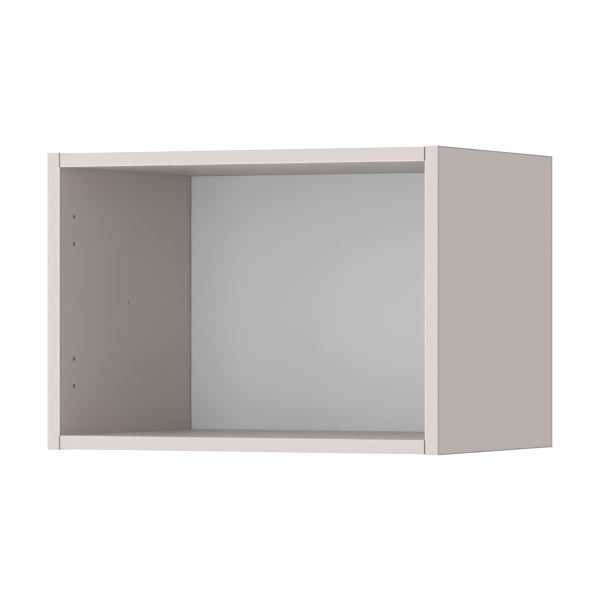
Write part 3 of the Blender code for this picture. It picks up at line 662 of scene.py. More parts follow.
class TurnedTree(Graph):
    """Geometry Nodes that turn a profile about Z, groove it, recess it and copy it to each place.

    The profile's points are (radius, groove share, height). Groove Starts are the grooves round it,
    and Groove Turns the times per metre that they wind round it. The higher the Crest, the sharper
    the ridges between the grooves. Each copy is turned by its place's own turn, and spun by chance.
    """

    INPUTS = {
        "Places": "NodeSocketGeometry",
        "Profile": "NodeSocketObject",
        "Recess": "NodeSocketObject",
        "Sides": "NodeSocketInt",
        "Groove Starts": "NodeSocketFloat",
        "Groove Turns": "NodeSocketFloat",
        "Groove Depth": "NodeSocketFloat",
        "Crest": "NodeSocketFloat",
        "Spin": "NodeSocketFloat",
        "Spin Seed": "NodeSocketInt",
        "Material": "NodeSocketMaterial",
    }

    def __init__(self):
        super().__init__(bpy.data.node_groups.new("turned_pieces", "GeometryNodeTree"))
        for name, kind in self.INPUTS.items():
            self.tree.interface.new_socket(name, in_out="INPUT", socket_type=kind)
        self.tree.interface.new_socket("Pieces", in_out="OUTPUT", socket_type="NodeSocketGeometry")
        self.given = self.tree.nodes.new("NodeGroupInput")
        pieces = self.copies(self.recessed(self.turned()))
        self.feed(self.tree.nodes.new("NodeGroupOutput").inputs["Pieces"], pieces)

    def wanted(self, name):
        return Wire(self, self.given.outputs[name])

    def contents(self, name):
        """The mesh of an object among the inputs."""
        inputs = {"Object": self.wanted(name)}
        return self.add("GeometryNodeObjectInfo", inputs=inputs, output="Geometry")

    def parts_of(self, vector):
        """The x, y and z of a vector."""
        inputs = {"Vector": vector}
        return [self.add("ShaderNodeSeparateXYZ", inputs=inputs, output=axis) for axis in range(3)]

    def turned(self):
        """A sheet with a row of points for each profile point, rolled up and closed at both ends."""
        profile = self.contents("Profile")
        points = {"Geometry": profile}
        count = self.add("GeometryNodeAttributeDomainSize", inputs=points, output="Point Count")
        sizes = {"Size X": 1, "Size Y": 1, "Vertices X": count, "Vertices Y": self.wanted("Sides") + 1}
        sheet = self.add("GeometryNodeMeshGrid", inputs=sizes)
        place = self.add("GeometryNodeInputPosition")
        up, around, _ = self.parts_of(place)
        row = self.math("ROUND", (up + 0.5) * (count - 1))
        sampling = {"Geometry": profile, "Value": place, "Index": row}
        point = self.add("GeometryNodeSampleIndex", {"data_type": "FLOAT_VECTOR"}, sampling)
        radius, share, height = self.parts_of(point)
        angle = (around + 0.5) * -math.tau
        phase = self.wanted("Groove Starts") * angle + self.wanted("Groove Turns") * math.tau * height
        crest = (0.5 + 0.5 * phase.cosine()) ** self.wanted("Crest")
        grooved = radius - self.wanted("Groove Depth") * share * (1 - crest)
        corner = {"X": grooved * angle.cosine(), "Y": grooved * self.math("SINE", angle), "Z": height}
        rolled = {"Geometry": sheet, "Position": self.add("ShaderNodeCombineXYZ", inputs=corner)}
        body = self.add("GeometryNodeSetPosition", inputs=rolled)
        merging = {"Geometry": body, "Distance": MERGE_REACH}
        return self.add("GeometryNodeMergeByDistance", inputs=merging)

    def recessed(self, body):
        """The body with the recess cut out of it."""
        return self.add(
            "GeometryNodeMeshBoolean",
            {"operation": "DIFFERENCE", "solver": "EXACT"},
            {"Mesh 1": body, "Mesh 2": self.contents("Recess")},
        )

    def copies(self, body):
        """The body on every place, spun and turned, in its material."""
        settings = {"data_type": "QUATERNION"}
        turn = self.add("GeometryNodeInputNamedAttribute", settings, {"Name": "turn"})
        on_points = {"Points": self.wanted("Places"), "Instance": body, "Rotation": turn}
        copies = self.add("GeometryNodeInstanceOnPoints", inputs=on_points)
        chance = self.add(
            "FunctionNodeRandomValue",
            {"data_type": "FLOAT"},
            {"Min": 0, "Max": self.wanted("Spin"), "Seed": self.wanted("Spin Seed")},
        )
        spin = self.add("ShaderNodeCombineXYZ", inputs={"Z": chance})
        spun = self.add("GeometryNodeRotateInstances", inputs={"Instances": copies, "Rotation": spin})
        real = self.add("GeometryNodeRealizeInstances", inputs={"Geometry": spun})
        covered = {"Geometry": real, "Material": self.wanted("Material")}
        return self.add("GeometryNodeSetMaterial", inputs=covered)


def profile_object(points):
    """A row of (radius, groove share, height) points, from the axis's lower end to its upper one."""
    mesh = bpy.data.meshes.new("profile")
    mesh.from_pydata(points, [], [])
    return new_object("profile", mesh)


def run(start, end, steps):
    """Evenly spaced profile points from one to another, without the first."""
    return [
        tuple(first + (last - first) * step / steps for first, last in zip(start, end))
        for step in range(1, steps + 1)
    ]


def turned_pieces(name, places, points, material, recess=None, **values):
    """One mesh that holds a turned piece at each (place, direction), made from profile points."""
    mesh = bpy.data.meshes.new(name)
    mesh.from_pydata([place for place, _ in places], [], [])
    turns = mesh.attributes.new("turn", "QUATERNION", "POINT")
    for index, (_, direction) in enumerate(places):
        turns.data[index].value = Vector(direction).to_track_quat("Z", "Y")
    piece = new_object(name, mesh)
    values.update(Profile=profile_object(points), Recess=recess, Material=material)
    modifier = piece.modifiers.new(name, "NODES")
    modifier.node_group = turned_tree.tree
    for item in turned_tree.tree.interface.items_tree:
        key = item.name.replace(" ", "_")
        if key in values:
            modifier[item.identifier] = values[key]
    settled(piece)
    dress(piece, material)
    for helper in (values["Profile"], recess):
        if helper:
            bpy.data.objects.remove(helper)
    return piece


turned_tree = TurnedTree()


def beech():
    """Straight-grained beech along X, with short dark flecks."""
    finish = Finish("fluted_beech")
    drawn_out = finish.shrunk((BEECH_GRAIN_SHARE, 1, 1))
    grain = finish.noise(BEECH_GRAIN, detail=5, place=drawn_out)
    short = finish.shrunk((BEECH_FLECK_SHARE, 1, 1))
    fleck = finish.noise(BEECH_FLECK, detail=2, place=short).ramp(*BEECH_FLECK_LEVELS)
    wood = finish.mixed(grain.ramp(*BEECH_GRAIN_LEVELS), *BEECH_COLOURS)
    colour = finish.mixed(BEECH_FLECK_STRENGTH * fleck, wood, BEECH_FLECK_COLOUR)
    height = finish.bumped(grain - BEECH_FLECK_HEIGHT_SHARE * fleck, BEECH_GRAIN_HEIGHT)
    return finish.done(finish.coat(colour, BEECH_ROUGHNESS + BEECH_GRAIN_ROUGHNESS * grain, height))


JOINTS = [
    f"{level}_{side}_{row}"
    for level in ("top", "bottom")
    for side in ("left", "right")
    for row in ("front", "rear")
]
dowel_places = []
for joint in JOINTS:
    low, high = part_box("dowel_" + joint)
    dowel_places.append(((low + high) / 2, (1, 0, 0)))
dowel_radius, dowel_reach = (high.z - low.z) / 2, (high.x - low.x) / 2
dowel_end = dowel_radius - DOWEL_CHAMFER
barrel_end = dowel_reach - DOWEL_CHAMFER
dowel_profile = [
    (0, 0, -dowel_reach),
    (dowel_end, 0, -dowel_reach),
    (dowel_radius, 1, -barrel_end),
    *run((dowel_radius, 1, -barrel_end), (dowel_radius, 1, barrel_end), DOWEL_BARREL_STEPS),
    (dowel_end, 0, dowel_reach),
    (0, 0, dowel_reach),
]
dowels = turned_pieces(
    "fluted_dowels",
    dowel_places,
    dowel_profile,
    beech(),
    Sides=DOWEL_SIDES,
    Groove_Starts=DOWEL_FLUTES,
    Groove_Depth=DOWEL_FLUTE_DEPTH,
    Crest=DOWEL_FLUTE_CREST,
)
smoothed(dowels, DOWEL_SMOOTH_ANGLE)
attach(dowels, "carcass")
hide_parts(*("dowel_" + joint for joint in JOINTS))


# Cam bolts: plated steel, screwed into the sides up to a collar. The ball at the other end of the
# bolt reaches into a cam lock, which draws it in. The thread is coarse and sharp to hold in chips.

BOLT_BALL_DIAMETER = 6.6 * MM
BOLT_NECK_DIAMETER = 4.0 * MM
BOLT_SHANK_DIAMETER = 6.0 * MM
BOLT_COLLAR_DIAMETER = 7.0 * MM
BOLT_COLLAR_LENGTH = 1.5 * MM
BOLT_THREAD_DIAMETER = 5.0 * MM
BOLT_THREAD_LENGTH = 11.0 * MM
BOLT_POINT_LENGTH = 1.0 * MM
BOLT_THREAD_PITCH = 2.2 * MM
BOLT_THREAD_DEPTH = 0.9 * MM
BOLT_THREAD_CREST = 3.0
BOLT_NECK_LENGTH = 8.1 * MM
BOLT_EDGE = 0.3 * MM
BOLT_BALL_STEPS = 14
THREAD_STEPS_PER_TURN = 10
BOLT_SIDES = 40
PLATING_COLOURS = ((0.60, 0.62, 0.66, 1), (0.71, 0.71, 0.70, 1))
PLATING_CLOUD = 4 * MM
PLATING_CLOUD_LEVELS = (0.35, 0.65)
PLATING_GRAIN = 0.25 * MM
PLATING_GRAIN_HEIGHT = 0.008 * MM
PLATING_DULL_SPOT = 12 * MM
PLATING_DULL_LEVELS = (0.5, 0.75)
PLATING_TONE = 0.94
PLATING_GRAIN_TONE = 0.10
PLATING_DULL_SHADE = 0.12
PLATING_ROUGHNESS = 0.24
PLATING_GRAIN_ROUGHNESS = 0.10
PLATING_DULL_ROUGHNESS = 0.16


def zinc_plating():
    """Bright zinc on steel: cool grey with warmer clouds, a fine grain and duller spots."""
    finish = Finish("zinc_plated_steel")
    cloud = finish.noise(PLATING_CLOUD, detail=3)
    grain = finish.noise(PLATING_GRAIN, detail=3)
    dull = finish.noise(PLATING_DULL_SPOT, detail=4).ramp(*PLATING_DULL_LEVELS)
    colour = finish.mixed(cloud.ramp(*PLATING_CLOUD_LEVELS), *PLATING_COLOURS)
    tone = PLATING_TONE + PLATING_GRAIN_TONE * grain - PLATING_DULL_SHADE * dull
    roughness = PLATING_ROUGHNESS + PLATING_GRAIN_ROUGHNESS * grain + PLATING_DULL_ROUGHNESS * dull
    height = finish.bumped(grain, PLATING_GRAIN_HEIGHT)
    return finish.done(finish.coat(finish.toned(colour, tone), roughness, height, metallic=1.0))


plated_steel = zinc_plating()
ball, neck, shank = BOLT_BALL_DIAMETER / 2, BOLT_NECK_DIAMETER / 2, BOLT_SHANK_DIAMETER / 2
collar, thread = BOLT_COLLAR_DIAMETER / 2, BOLT_THREAD_DIAMETER / 2
bolt_places = []
for joint in JOINTS:
    low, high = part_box("cam_bolt_" + joint)
    middle = (low + high) / 2
    side = 1 if middle.x > 0 else -1
    ball_x = low.x + ball if side > 0 else high.x - ball
    bolt_places.append(((ball_x, middle.y, middle.z), (side, 0, 0)))
tip = high.x - low.x - ball
collar_end = tip - BOLT_THREAD_LENGTH
collar_start = collar_end - BOLT_COLLAR_LENGTH
thread_end = tip - BOLT_POINT_LENGTH
thread_start = collar_end + BOLT_EDGE
thread_steps = math.ceil((thread_end - thread_start) / BOLT_THREAD_PITCH * THREAD_STEPS_PER_TURN)
last_angle = math.asin(neck / ball)
ball_points = [(0, 0, -ball)]
for step in range(1, BOLT_BALL_STEPS + 1):
    angle = math.pi - (math.pi - last_angle) * step / BOLT_BALL_STEPS
    ball_points.append((ball * math.sin(angle), 0, ball * math.cos(angle)))
bolt_profile = [
    *ball_points,
    (neck, 0, BOLT_NECK_LENGTH),
    (shank - BOLT_EDGE, 0, BOLT_NECK_LENGTH),
    (shank, 0, BOLT_NECK_LENGTH + BOLT_EDGE),
    (shank, 0, collar_start),
    (collar - BOLT_EDGE, 0, collar_start),
    (collar, 0, collar_start + BOLT_EDGE),
    (collar, 0, collar_end - BOLT_EDGE),
    (collar - BOLT_EDGE, 0, collar_end),
    (thread - BOLT_THREAD_DEPTH, 0, collar_end),
    (thread - BOLT_THREAD_DEPTH, 0, thread_start),
    *run((thread, 1, thread_start), (thread, 1, thread_end), thread_steps),
    (thread - BOLT_THREAD_DEPTH, 0, tip),
    (0, 0, tip),
]
bolts = turned_pieces(
    "cam_bolts",
    bolt_places,
    bolt_profile,
    plated_steel,
    Sides=BOLT_SIDES,
    Groove_Starts=1,
    Groove_Turns=1 / BOLT_THREAD_PITCH,
    Groove_Depth=BOLT_THREAD_DEPTH,
    Crest=BOLT_THREAD_CREST,
)
smoothed(bolts, SMOOTH_ANGLE)
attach(bolts, "carcass")
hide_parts(*("cam_bolt_" + joint for joint in JOINTS))


# Cam locks: die-cast zinc cups, pushed into the outer faces of the top and bottom panels. A half
# turn of the driver in the cross recess draws the ball of the cam bolt in along the slotted wall.

CAM_RIM = 0.4 * MM
CAM_HOLLOW_OFFSET = 0.4 * MM
CAM_FIT = 0.3 * MM
CAM_CROSS_LENGTH = 7.5 * MM
CAM_CROSS_WIDTH = 1.6 * MM
CAM_CROSS_DEPTH = 2.5 * MM
CAM_CROSS_FLOOR_SHARE = 0.72
CAM_ARROW_LENGTH = 1.8 * MM
CAM_ARROW_WIDTH = 2.2 * MM
CAM_ARROW_MARGIN = 0.8 * MM
CAM_ARROW_DEPTH = 0.5 * MM
CAM_SIDES = 64
CUT_OVERRUN = 2 * MM
ZINC_COLOURS = ((0.36, 0.37, 0.39, 1), (0.58, 0.58, 0.59, 1))
ZINC_BLOT = 2.2 * MM
ZINC_BLOT_LEVELS = (0.3, 0.7)
ZINC_BLOT_SHARE = 0.7
ZINC_BLOT_HEIGHT_SHARE = 0.4
ZINC_GRAIN = 0.30 * MM
ZINC_GRAIN_SHARE = 0.3
ZINC_GRAIN_HEIGHT = 0.03 * MM
ZINC_ROUGHNESS = 0.36
ZINC_GRAIN_ROUGHNESS = 0.22
ZINC_RECESS_ROUGHNESS = 0.2
ZINC_RECESS_START = 0.3 * MM
ZINC_RECESS_END = 1.8 * MM
ZINC_RECESS_SHADE = 0.6


def zinc_casting():
    """Tumbled die-cast zinc: satin grey, with a fine pebbled skin, and darker blots and recesses."""
    finish = Finish("die_cast_zinc")
    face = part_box("cam_lock_top_left_front")[1].z
    centre = (cad_low.z + cad_high.z) / 2
    below_face = face - centre - abs(finish.along(UPRIGHT) - centre)
    # Painted shade: the recesses below the cam's face are darkened in colour.
    recess = below_face.ramp(ZINC_RECESS_START, ZINC_RECESS_END)
    blot = finish.noise(ZINC_BLOT, detail=4)
    grain = finish.noise(ZINC_GRAIN, detail=4)
    mottle = ZINC_BLOT_SHARE * blot.ramp(*ZINC_BLOT_LEVELS) + ZINC_GRAIN_SHARE * grain
    zinc = finish.mixed(mottle, *ZINC_COLOURS)
    colour = finish.toned(zinc, 1 - ZINC_RECESS_SHADE * recess)
    roughness = ZINC_ROUGHNESS + ZINC_GRAIN_ROUGHNESS * grain + ZINC_RECESS_ROUGHNESS * recess
    height = finish.bumped(grain + ZINC_BLOT_HEIGHT_SHARE * blot, ZINC_GRAIN_HEIGHT)
    return finish.done(finish.coat(colour, roughness, height, metallic=1.0))


def add_tapered_prism(shape, outline, floor, roof, floor_share):
    """An outline of (x, y) points at the roof, drawn in to a share of itself at the floor."""
    lower = [shape.verts.new((x * floor_share, y * floor_share, floor)) for x, y in outline]
    upper = [shape.verts.new((x, y, roof)) for x, y in outline]
    shape.faces.new(reversed(lower))
    shape.faces.new(upper)
    for index in range(len(outline)):
        after = (index + 1) % len(outline)
        shape.faces.new((lower[index], lower[after], upper[after], upper[index]))


def cross_outline(length, width):
    """A cross recess, counter-clockwise from the right arm's upper corner."""
    arm, half = length / 2, width / 2
    points = []
    for quarter in range(4):
        spin = Matrix.Rotation(quarter * math.pi / 2, 2)
        points += [spin @ Vector(point) for point in ((arm, half), (half, half), (half, arm))]
    return points


def add_rod(shape, diameter, start, end, sides):
    """A cylinder from one point to another."""
    along = Vector(end) - Vector(start)
    turn = along.to_track_quat("Z", "Y").to_matrix().to_4x4()
    place = Matrix.Translation((Vector(start) + Vector(end)) / 2) @ turn
    bmesh.ops.create_cone(
        shape,
        cap_ends=True,
        segments=sides,
        radius1=diameter / 2,
        radius2=diameter / 2,
        depth=along.length,
        matrix=place,
    )


def cam_lock(radius, height, bolt_depth):
    """A cam lock at the origin with its driven face up, locked round a bolt that leaves towards +X."""
    profile = [
        (0, 0, -height),
        (radius - CAM_RIM, 0, -height),
        (radius, 0, CAM_RIM - height),
        (radius, 0, -CAM_RIM),
        (radius - CAM_RIM, 0, 0),
        (0, 0, 0),
    ]
    places = [((0, 0, 0), (0, 0, 1))]
    cup = turned_pieces("cam_cup", places, profile, zinc_casting(), Sides=CAM_SIDES, Crest=1)
    ball_room, neck_room = ball + CAM_FIT, neck + CAM_FIT
    roof = ball_room - bolt_depth
    below = -height - CUT_OVERRUN
    beyond = radius + CUT_OVERRUN
    hollow, mouth, slot, cross, arrow = (bmesh.new() for _ in range(5))
    hollow_x = -CAM_HOLLOW_OFFSET
    hollow_diameter = 2 * (ball_room + CAM_HOLLOW_OFFSET)
    add_rod(hollow, hollow_diameter, (hollow_x, 0, below), (hollow_x, 0, roof), CAM_SIDES)
    add_block(mouth, Vector((-beyond, -ball_room, below)), Vector((0, ball_room, roof)))
    slot_low = Vector((-beyond, -beyond, -bolt_depth - neck_room))
    add_block(slot, slot_low, Vector((beyond, neck_room, neck_room - bolt_depth)))
    outline = cross_outline(CAM_CROSS_LENGTH, CAM_CROSS_WIDTH)
    add_tapered_prism(cross, outline, -CAM_CROSS_DEPTH, CAM_RIM, CAM_CROSS_FLOOR_SHARE)
    tip_x = CAM_ARROW_MARGIN - radius
    base_x, half_width = tip_x + CAM_ARROW_LENGTH, CAM_ARROW_WIDTH / 2
    points = [(tip_x, 0), (base_x, -half_width), (base_x, half_width)]
    add_tapered_prism(arrow, points, -CAM_ARROW_DEPTH, CAM_RIM, 1)
    cut_away(cup, hollow, mouth, slot, cross, arrow)
    return cup


low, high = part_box("cam_lock_" + JOINTS[0])
board_low, board_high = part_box("top_panel")
cam_cup = cam_lock((high.y - low.y) / 2, high.z - low.z, (board_high.z - board_low.z) / 2)
for joint in JOINTS:
    node = "cam_lock_" + joint
    low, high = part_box(node)
    middle = (low + high) / 2
    is_top = joint.startswith("top")
    face_z = high.z if is_top else low.z
    turn = Matrix.Rotation(0 if middle.x > 0 else math.pi, 4, "Z")
    flip = Matrix.Rotation(0 if is_top else math.pi, 4, "X")
    cam = new_object("turning_" + node, cam_cup.data.copy())
    cam.data.transform(Matrix.Translation((middle.x, middle.y, face_z)) @ flip @ turn)
    smoothed(cam, SMOOTH_ANGLE)
    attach(cam, "cam_" + joint)
    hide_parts(node)
bpy.data.objects.remove(cam_cup)


# Back panel: thin hardboard in the rebates of the sides, lacquered cool grey on the face that
# shows inside, where painted shade darkens a seam under the top panel and along the sides. Its rear
# is raw brown, printed with the mesh of the screen it was pressed on.

LACQUER_COLOUR = (0.828, 0.866, 0.884)
LACQUER_STIPPLE = 1.6 * MM
LACQUER_STIPPLE_HEIGHT = 0.012 * MM
LACQUER_CLOUD = 80 * MM
LACQUER_ROUGHNESS = 0.40
LACQUER_STIPPLE_ROUGHNESS = 0.10
LACQUER_DEPTH = 0.1 * MM
LACQUER_CORE_SHARE = 0.5
# Painted shade along the seams where the top panel and the sides meet the lacquer.
SEAM_SHADE_COLOUR = (0.18, 0.18, 0.19, 1)
SEAM_UNDER_TOP = 0.55 * MM
SEAM_AT_SIDES = 0.9 * MM
SEAM_CORE_SHARE = 0.7
RAW_COLOURS = ((0.17, 0.095, 0.05, 1), (0.30, 0.18, 0.10, 1))
RAW_BLOT = 9 * MM
RAW_BLOT_LEVELS = (0.25, 0.75)
RAW_BLOT_SHARE = 0.45
RAW_FIBRE = 0.6 * MM
RAW_FIBRE_FLATNESS = 0.35
RAW_FIBRE_SHARE = 0.55
RAW_FIBRE_HEIGHT_SHARE = 0.8
RAW_ROUGHNESS = 0.80
SCREEN_PITCH = 1.1 * MM
SCREEN_DEPTH = 0.06 * MM
SCREEN_BEND = 0.5
SCREEN_BEND_PITCHES = 4
SCREEN_HOLLOW_TONE = 0.92
SCREEN_TONE = 0.12
SCREEN_GLOSS = 0.10


def stippled_lacquer(finish):
    """Grey lacquer with a faint stipple, and dark in the seams round it."""
    inner_top, inner_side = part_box("top_panel")[0].z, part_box("right_side_panel")[0].x
    stipple = finish.noise(LACQUER_STIPPLE, detail=4)
    cloud = finish.noise(LACQUER_CLOUD, detail=2)
    under_top = (finish.along(UPRIGHT) - inner_top) * (1 / SEAM_UNDER_TOP)
    at_side = (abs(finish.along(ACROSS)) - inner_side) * (1 / SEAM_AT_SIDES)
    # The seam mask paints shade where the top panel and the sides meet the lacquer.
    seam_shade = finish.math("MAXIMUM", under_top, at_side).ramp(-1, -SEAM_CORE_SHARE)
    grey = finish.toned(LACQUER_COLOUR, finish.faint(cloud, stipple))
    roughness = LACQUER_ROUGHNESS + LACQUER_STIPPLE_ROUGHNESS * stipple
    height = finish.bumped(stipple, LACQUER_STIPPLE_HEIGHT)
    return finish.coat(finish.mixed(seam_shade, grey, SEAM_SHADE_COLOUR), roughness, height)


def screen_pressed_fibre(finish):
    """Raw brown fibre with the print of a slightly wavy screen."""
    blot = finish.noise(RAW_BLOT, detail=5)
    fibre = finish.noise(RAW_FIBRE, detail=4, place=finish.shrunk((RAW_FIBRE_FLATNESS, 1, 1)))
    slack = SCREEN_BEND * finish.noise(SCREEN_BEND_PITCHES * SCREEN_PITCH, detail=3)
    across = (finish.along(ACROSS) * (math.tau / SCREEN_PITCH) + slack).cosine()
    upright = (finish.along(UPRIGHT) * (math.tau / SCREEN_PITCH) - slack).cosine()
    screen = 0.5 + 0.25 * (across + upright)
    mottle = RAW_BLOT_SHARE * blot.ramp(*RAW_BLOT_LEVELS) + RAW_FIBRE_SHARE * fibre
    brown = finish.mixed(mottle, *RAW_COLOURS)
    return finish.coat(
        finish.toned(brown, SCREEN_HOLLOW_TONE + SCREEN_TONE * screen),
        RAW_ROUGHNESS - SCREEN_GLOSS * screen,
        finish.bumped(screen + RAW_FIBRE_HEIGHT_SHARE * fibre, SCREEN_DEPTH),
    )


def grey_hardboard():
    """Lacquer on the front of the fibre, as deep as it has soaked in."""
    finish = Finish("grey_lacquered_hardboard")
    lacquer = stippled_lacquer(finish)
    raw = screen_pressed_fibre(finish)
    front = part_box("back_panel")[0].y
    core_end = front + LACQUER_CORE_SHARE * LACQUER_DEPTH
    inside = 1 - finish.along(DEEP).ramp(core_end, front + LACQUER_DEPTH)
    return finish.done(finish.covered(inside, raw, lacquer))


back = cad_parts["back_panel"]
dress(back, grey_hardboard())


# Nails: plated steel, with flat heads that are driven flush into the back panel. They hold it in
# the rebates of the sides and to the rear edges of the top and bottom. Rings under the head grip.

NAIL_DIAMETER = 1.4 * MM
NAIL_HEAD_THICKNESS = 0.6 * MM
NAIL_POINT_LENGTH = 1.5 * MM
NAIL_POINT_DIAMETER = 0.3 * MM
NAIL_RING_PITCH = 0.8 * MM
NAIL_RING_DEPTH = 0.07 * MM
NAIL_RINGS = 6
NAIL_EDGE = 0.12 * MM
NAIL_SIDES = 32

NAILS = [f"{side}_{index}" for side in ("left", "right") for index in (1, 2, 3)]
NAILS += [f"{level}_{index}" for level in ("top", "bottom") for index in (1, 2, 3, 4)]
REARWARD = (0, 1, 0)
nail_places = []
for name in NAILS:
    low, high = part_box("back_nail_" + name)
    nail_places.append((((low.x + high.x) / 2, high.y, (low.z + high.z) / 2), REARWARD))
nail, nail_head, nail_length = NAIL_DIAMETER / 2, (high.x - low.x) / 2, high.y - low.y
rings_end = -NAIL_HEAD_THICKNESS - NAIL_RING_PITCH
rings_start = rings_end - NAIL_RINGS * NAIL_RING_PITCH
nail_profile = [
    (0, 0, -nail_length),
    (NAIL_POINT_DIAMETER / 2, 0, -nail_length),
    (nail, 0, NAIL_POINT_LENGTH - nail_length),
    (nail, 0, rings_start),
    *run((nail, 1, rings_start), (nail, 1, rings_end), NAIL_RINGS * THREAD_STEPS_PER_TURN),
    (nail, 0, -NAIL_HEAD_THICKNESS),
    (nail_head - NAIL_EDGE, 0, -NAIL_HEAD_THICKNESS),
    (nail_head, 0, NAIL_EDGE - NAIL_HEAD_THICKNESS),
    (nail_head, 0, -NAIL_EDGE),
    (nail_head - NAIL_EDGE, 0, 0),
    (0, 0, 0),
]
nails = turned_pieces(
    "back_nails",
    nail_places,
    nail_profile,
    plated_steel,
    Sides=NAIL_SIDES,
    Groove_Turns=1 / NAIL_RING_PITCH,
    Groove_Depth=NAIL_RING_DEPTH,
    Crest=1,
)
smoothed(nails, SMOOTH_ANGLE)
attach(nails, "carcass")
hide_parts(*("back_nail_" + name for name in NAILS))


# Hanging plates: plated steel, stamped, let into the rear edge of each side and screwed down. The
# head of a wall screw goes in at the round end of the keyhole, and the cabinet drops onto it.

PLATE_EDGE = 0.25 * MM
PLATE_EDGE_STEPS = 2
PLATE_CORNER = 0.8 * MM
PLATE_CORNER_STEPS = 6
KEYHOLE_ENTRY_DIAMETER = 8.5 * MM
KEYHOLE_SLOT_WIDTH = 5.0 * MM
KEYHOLE_TRAVEL = 12.0 * MM
KEYHOLE_STEPS = 40
SCREW_DIAMETER = 3.5 * MM
SCREW_HEAD_HEIGHT = 1.8 * MM
SCREW_FIT = 0.3 * MM
SCREW_SIDES = 48


def arc(centre, radius, start, end, steps):
    """Points round a centre from one angle to another, with both ends."""
    points = []
    for step in range(steps + 1):
        angle = start + (end - start) * step / steps
        points.append((centre[0] + radius * math.cos(angle), centre[1] + radius * math.sin(angle)))
    return points


def plate_outline(half_width, half_height):
    """A rectangle with rounded corners, counter-clockwise."""
    points = []
    for quarter, (x, y) in enumerate(((1, 1), (-1, 1), (-1, -1), (1, -1))):
        centre = (x * (half_width - PLATE_CORNER), y * (half_height - PLATE_CORNER))
        start = quarter * math.pi / 2
        points += arc(centre, PLATE_CORNER, start, start + math.pi / 2, PLATE_CORNER_STEPS)
    return points


def keyhole_outline():
    """A round entry with a narrower slot rising from it, counter-clockwise."""
    entry, slot = KEYHOLE_ENTRY_DIAMETER / 2, KEYHOLE_SLOT_WIDTH / 2
    neck_angle = math.acos(slot / entry)
    centre = (0, -KEYHOLE_TRAVEL / 2)
    round_part = arc(centre, entry, math.pi - neck_angle, math.tau + neck_angle, KEYHOLE_STEPS)
    return round_part + arc((0, KEYHOLE_TRAVEL / 2), slot, 0, math.pi, KEYHOLE_STEPS // 2)


def stamped_plate(name, outlines, thickness):
    """A flat plate whose first outline is its rim and whose others are holes, with all edges eased."""
    curve = bpy.data.curves.new(name, "CURVE")
    curve.dimensions = "2D"
    curve.fill_mode = "BOTH"
    curve.extrude = thickness / 2 - PLATE_EDGE
    curve.bevel_depth = PLATE_EDGE
    curve.bevel_resolution = PLATE_EDGE_STEPS
    curve.offset = -PLATE_EDGE
    for outline in outlines:
        spline = curve.splines.new("POLY")
        spline.points.add(len(outline) - 1)
        spline.use_cyclic_u = True
        for point, (x, y) in zip(spline.points, outline):
            point.co = (x, y, 0, 1)
    flat = new_object(name, curve)
    mesh = bpy.data.meshes.new_from_object(flat.evaluated_get(bpy.context.evaluated_depsgraph_get()))
    bpy.data.objects.remove(flat)
    shape = bmesh.new()
    shape.from_mesh(mesh)
    bmesh.ops.remove_doubles(shape, verts=shape.verts, dist=MERGE_REACH)
    return mesh_from(name, shape)


for side in ("left", "right"):
    node = side + "_hanging_plate"
    low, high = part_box(node)
    centre = (low + high) / 2
    rim = plate_outline((high.x - low.x) / 2, (high.z - low.z) / 2)
    stamping = stamped_plate(node, [rim, keyhole_outline()[::-1]], high.y - low.y)
    plate = new_object(node + "_stamping", stamping)
    plate.data.transform(Matrix.Translation(centre) @ Matrix.Rotation(math.pi / 2, 4, "X"))
    countersinks, drills = bmesh.new(), bmesh.new()
    for end in ("lower", "upper"):
        screw_low, screw_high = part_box(f"{node}_{end}_screw")
        z = (screw_low.z + screw_high.z) / 2
        head = (screw_high.x - screw_low.x) / 2 + SCREW_FIT
        hole = SCREW_DIAMETER / 2 + SCREW_FIT
        slope = (head - hole) / SCREW_HEAD_HEIGHT
        sink_middle = Vector((centre.x, high.y + SCREW_FIT / 2 - SCREW_HEAD_HEIGHT / 2, z))
        bmesh.ops.create_cone(
            countersinks,
            cap_ends=True,
            segments=SCREW_SIDES,
            radius1=hole,
            radius2=head + slope * SCREW_FIT,
            depth=SCREW_HEAD_HEIGHT + SCREW_FIT,
            matrix=Matrix.Translation(sink_middle) @ Matrix.Rotation(-math.pi / 2, 4, "X"),
        )
        drill_start = (centre.x, low.y - CUT_OVERRUN, z)
        drill_end = (centre.x, high.y + CUT_OVERRUN, z)
        add_rod(drills, SCREW_DIAMETER + 2 * SCREW_FIT, drill_start, drill_end, SCREW_SIDES)
    cut_away(plate, countersinks, drills)
    dress(plate, plated_steel)
    smoothed(plate, SMOOTH_ANGLE)
    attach(plate, "carcass")
    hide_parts(node)


# Hanging plate screws: plated chipboard screws, countersunk flush with the plate, with a cross
# recess in the head and a sharp coarse thread that runs out in a point.

SCREW_POINT_LENGTH = 3.0 * MM
SCREW_SHANK_LENGTH = 1.2 * MM
SCREW_THREAD_PITCH = 1.6 * MM
SCREW_THREAD_DEPTH = 0.6 * MM
SCREW_THREAD_CREST = 3.0
SCREW_EDGE = 0.15 * MM
SCREW_CROSS_LENGTH = 4.0 * MM
SCREW_CROSS_WIDTH = 0.9 * MM
SCREW_CROSS_DEPTH = 1.5 * MM
SCREW_CROSS_FLOOR_SHARE = 0.40
SCREW_SPIN = math.tau
SCREW_SPIN_SEED = 4

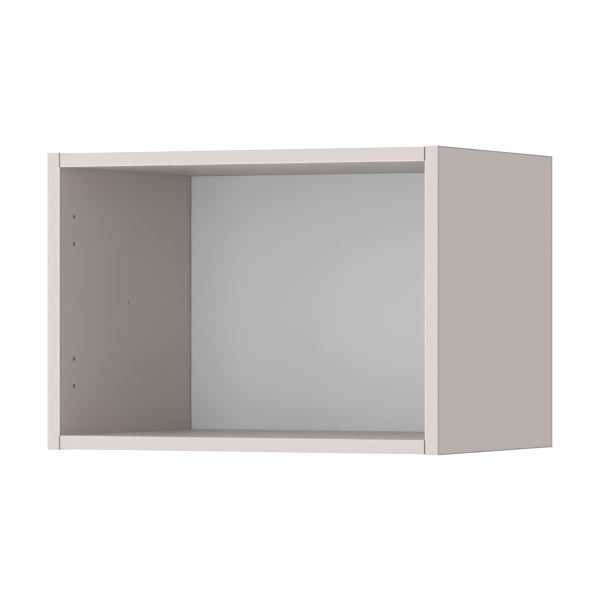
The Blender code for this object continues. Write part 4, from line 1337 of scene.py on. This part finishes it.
SCREWS = [
    f"{side}_hanging_plate_{end}_screw"
    for side in ("left", "right")
    for end in ("lower", "upper")
]
screw_places = []
for name in SCREWS:
    low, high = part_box(name)
    screw_places.append((((low.x + high.x) / 2, high.y, (low.z + high.z) / 2), REARWARD))
screw, screw_head, screw_length = SCREW_DIAMETER / 2, (high.x - low.x) / 2, high.y - low.y
core = screw - SCREW_THREAD_DEPTH
point_end = SCREW_POINT_LENGTH - screw_length
thread_top = -SCREW_HEAD_HEIGHT - SCREW_SHANK_LENGTH
thread_steps = math.ceil((thread_top - point_end) / SCREW_THREAD_PITCH * THREAD_STEPS_PER_TURN)
point_steps = math.ceil(SCREW_POINT_LENGTH / SCREW_THREAD_PITCH * THREAD_STEPS_PER_TURN)
screw_profile = [
    (0, 0, -screw_length),
    *run((0, 0, -screw_length), (screw, 1, point_end), point_steps),
    *run((screw, 1, point_end), (screw, 1, thread_top), thread_steps),
    (core, 0, thread_top + SCREW_EDGE),
    (core, 0, -SCREW_HEAD_HEIGHT),
    (screw_head - SCREW_EDGE, 0, -2 * SCREW_EDGE),
    (screw_head - SCREW_EDGE, 0, -SCREW_EDGE),
    (screw_head - 2 * SCREW_EDGE, 0, 0),
    (0, 0, 0),
]
screw_cross = bmesh.new()
outline = cross_outline(SCREW_CROSS_LENGTH, SCREW_CROSS_WIDTH)
add_tapered_prism(screw_cross, outline, -SCREW_CROSS_DEPTH, SCREW_EDGE, SCREW_CROSS_FLOOR_SHARE)
screws = turned_pieces(
    "hanging_plate_screws",
    screw_places,
    screw_profile,
    plated_steel,
    new_object("screw_cross", mesh_from("screw_cross", screw_cross)),
    Sides=SCREW_SIDES,
    Groove_Starts=1,
    Groove_Turns=1 / SCREW_THREAD_PITCH,
    Groove_Depth=SCREW_THREAD_DEPTH,
    Crest=SCREW_THREAD_CREST,
    Spin=SCREW_SPIN,
    Spin_Seed=SCREW_SPIN_SEED,
)
smoothed(screws, SMOOTH_ANGLE)
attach(screws, "carcass")
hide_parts(*SCREWS)
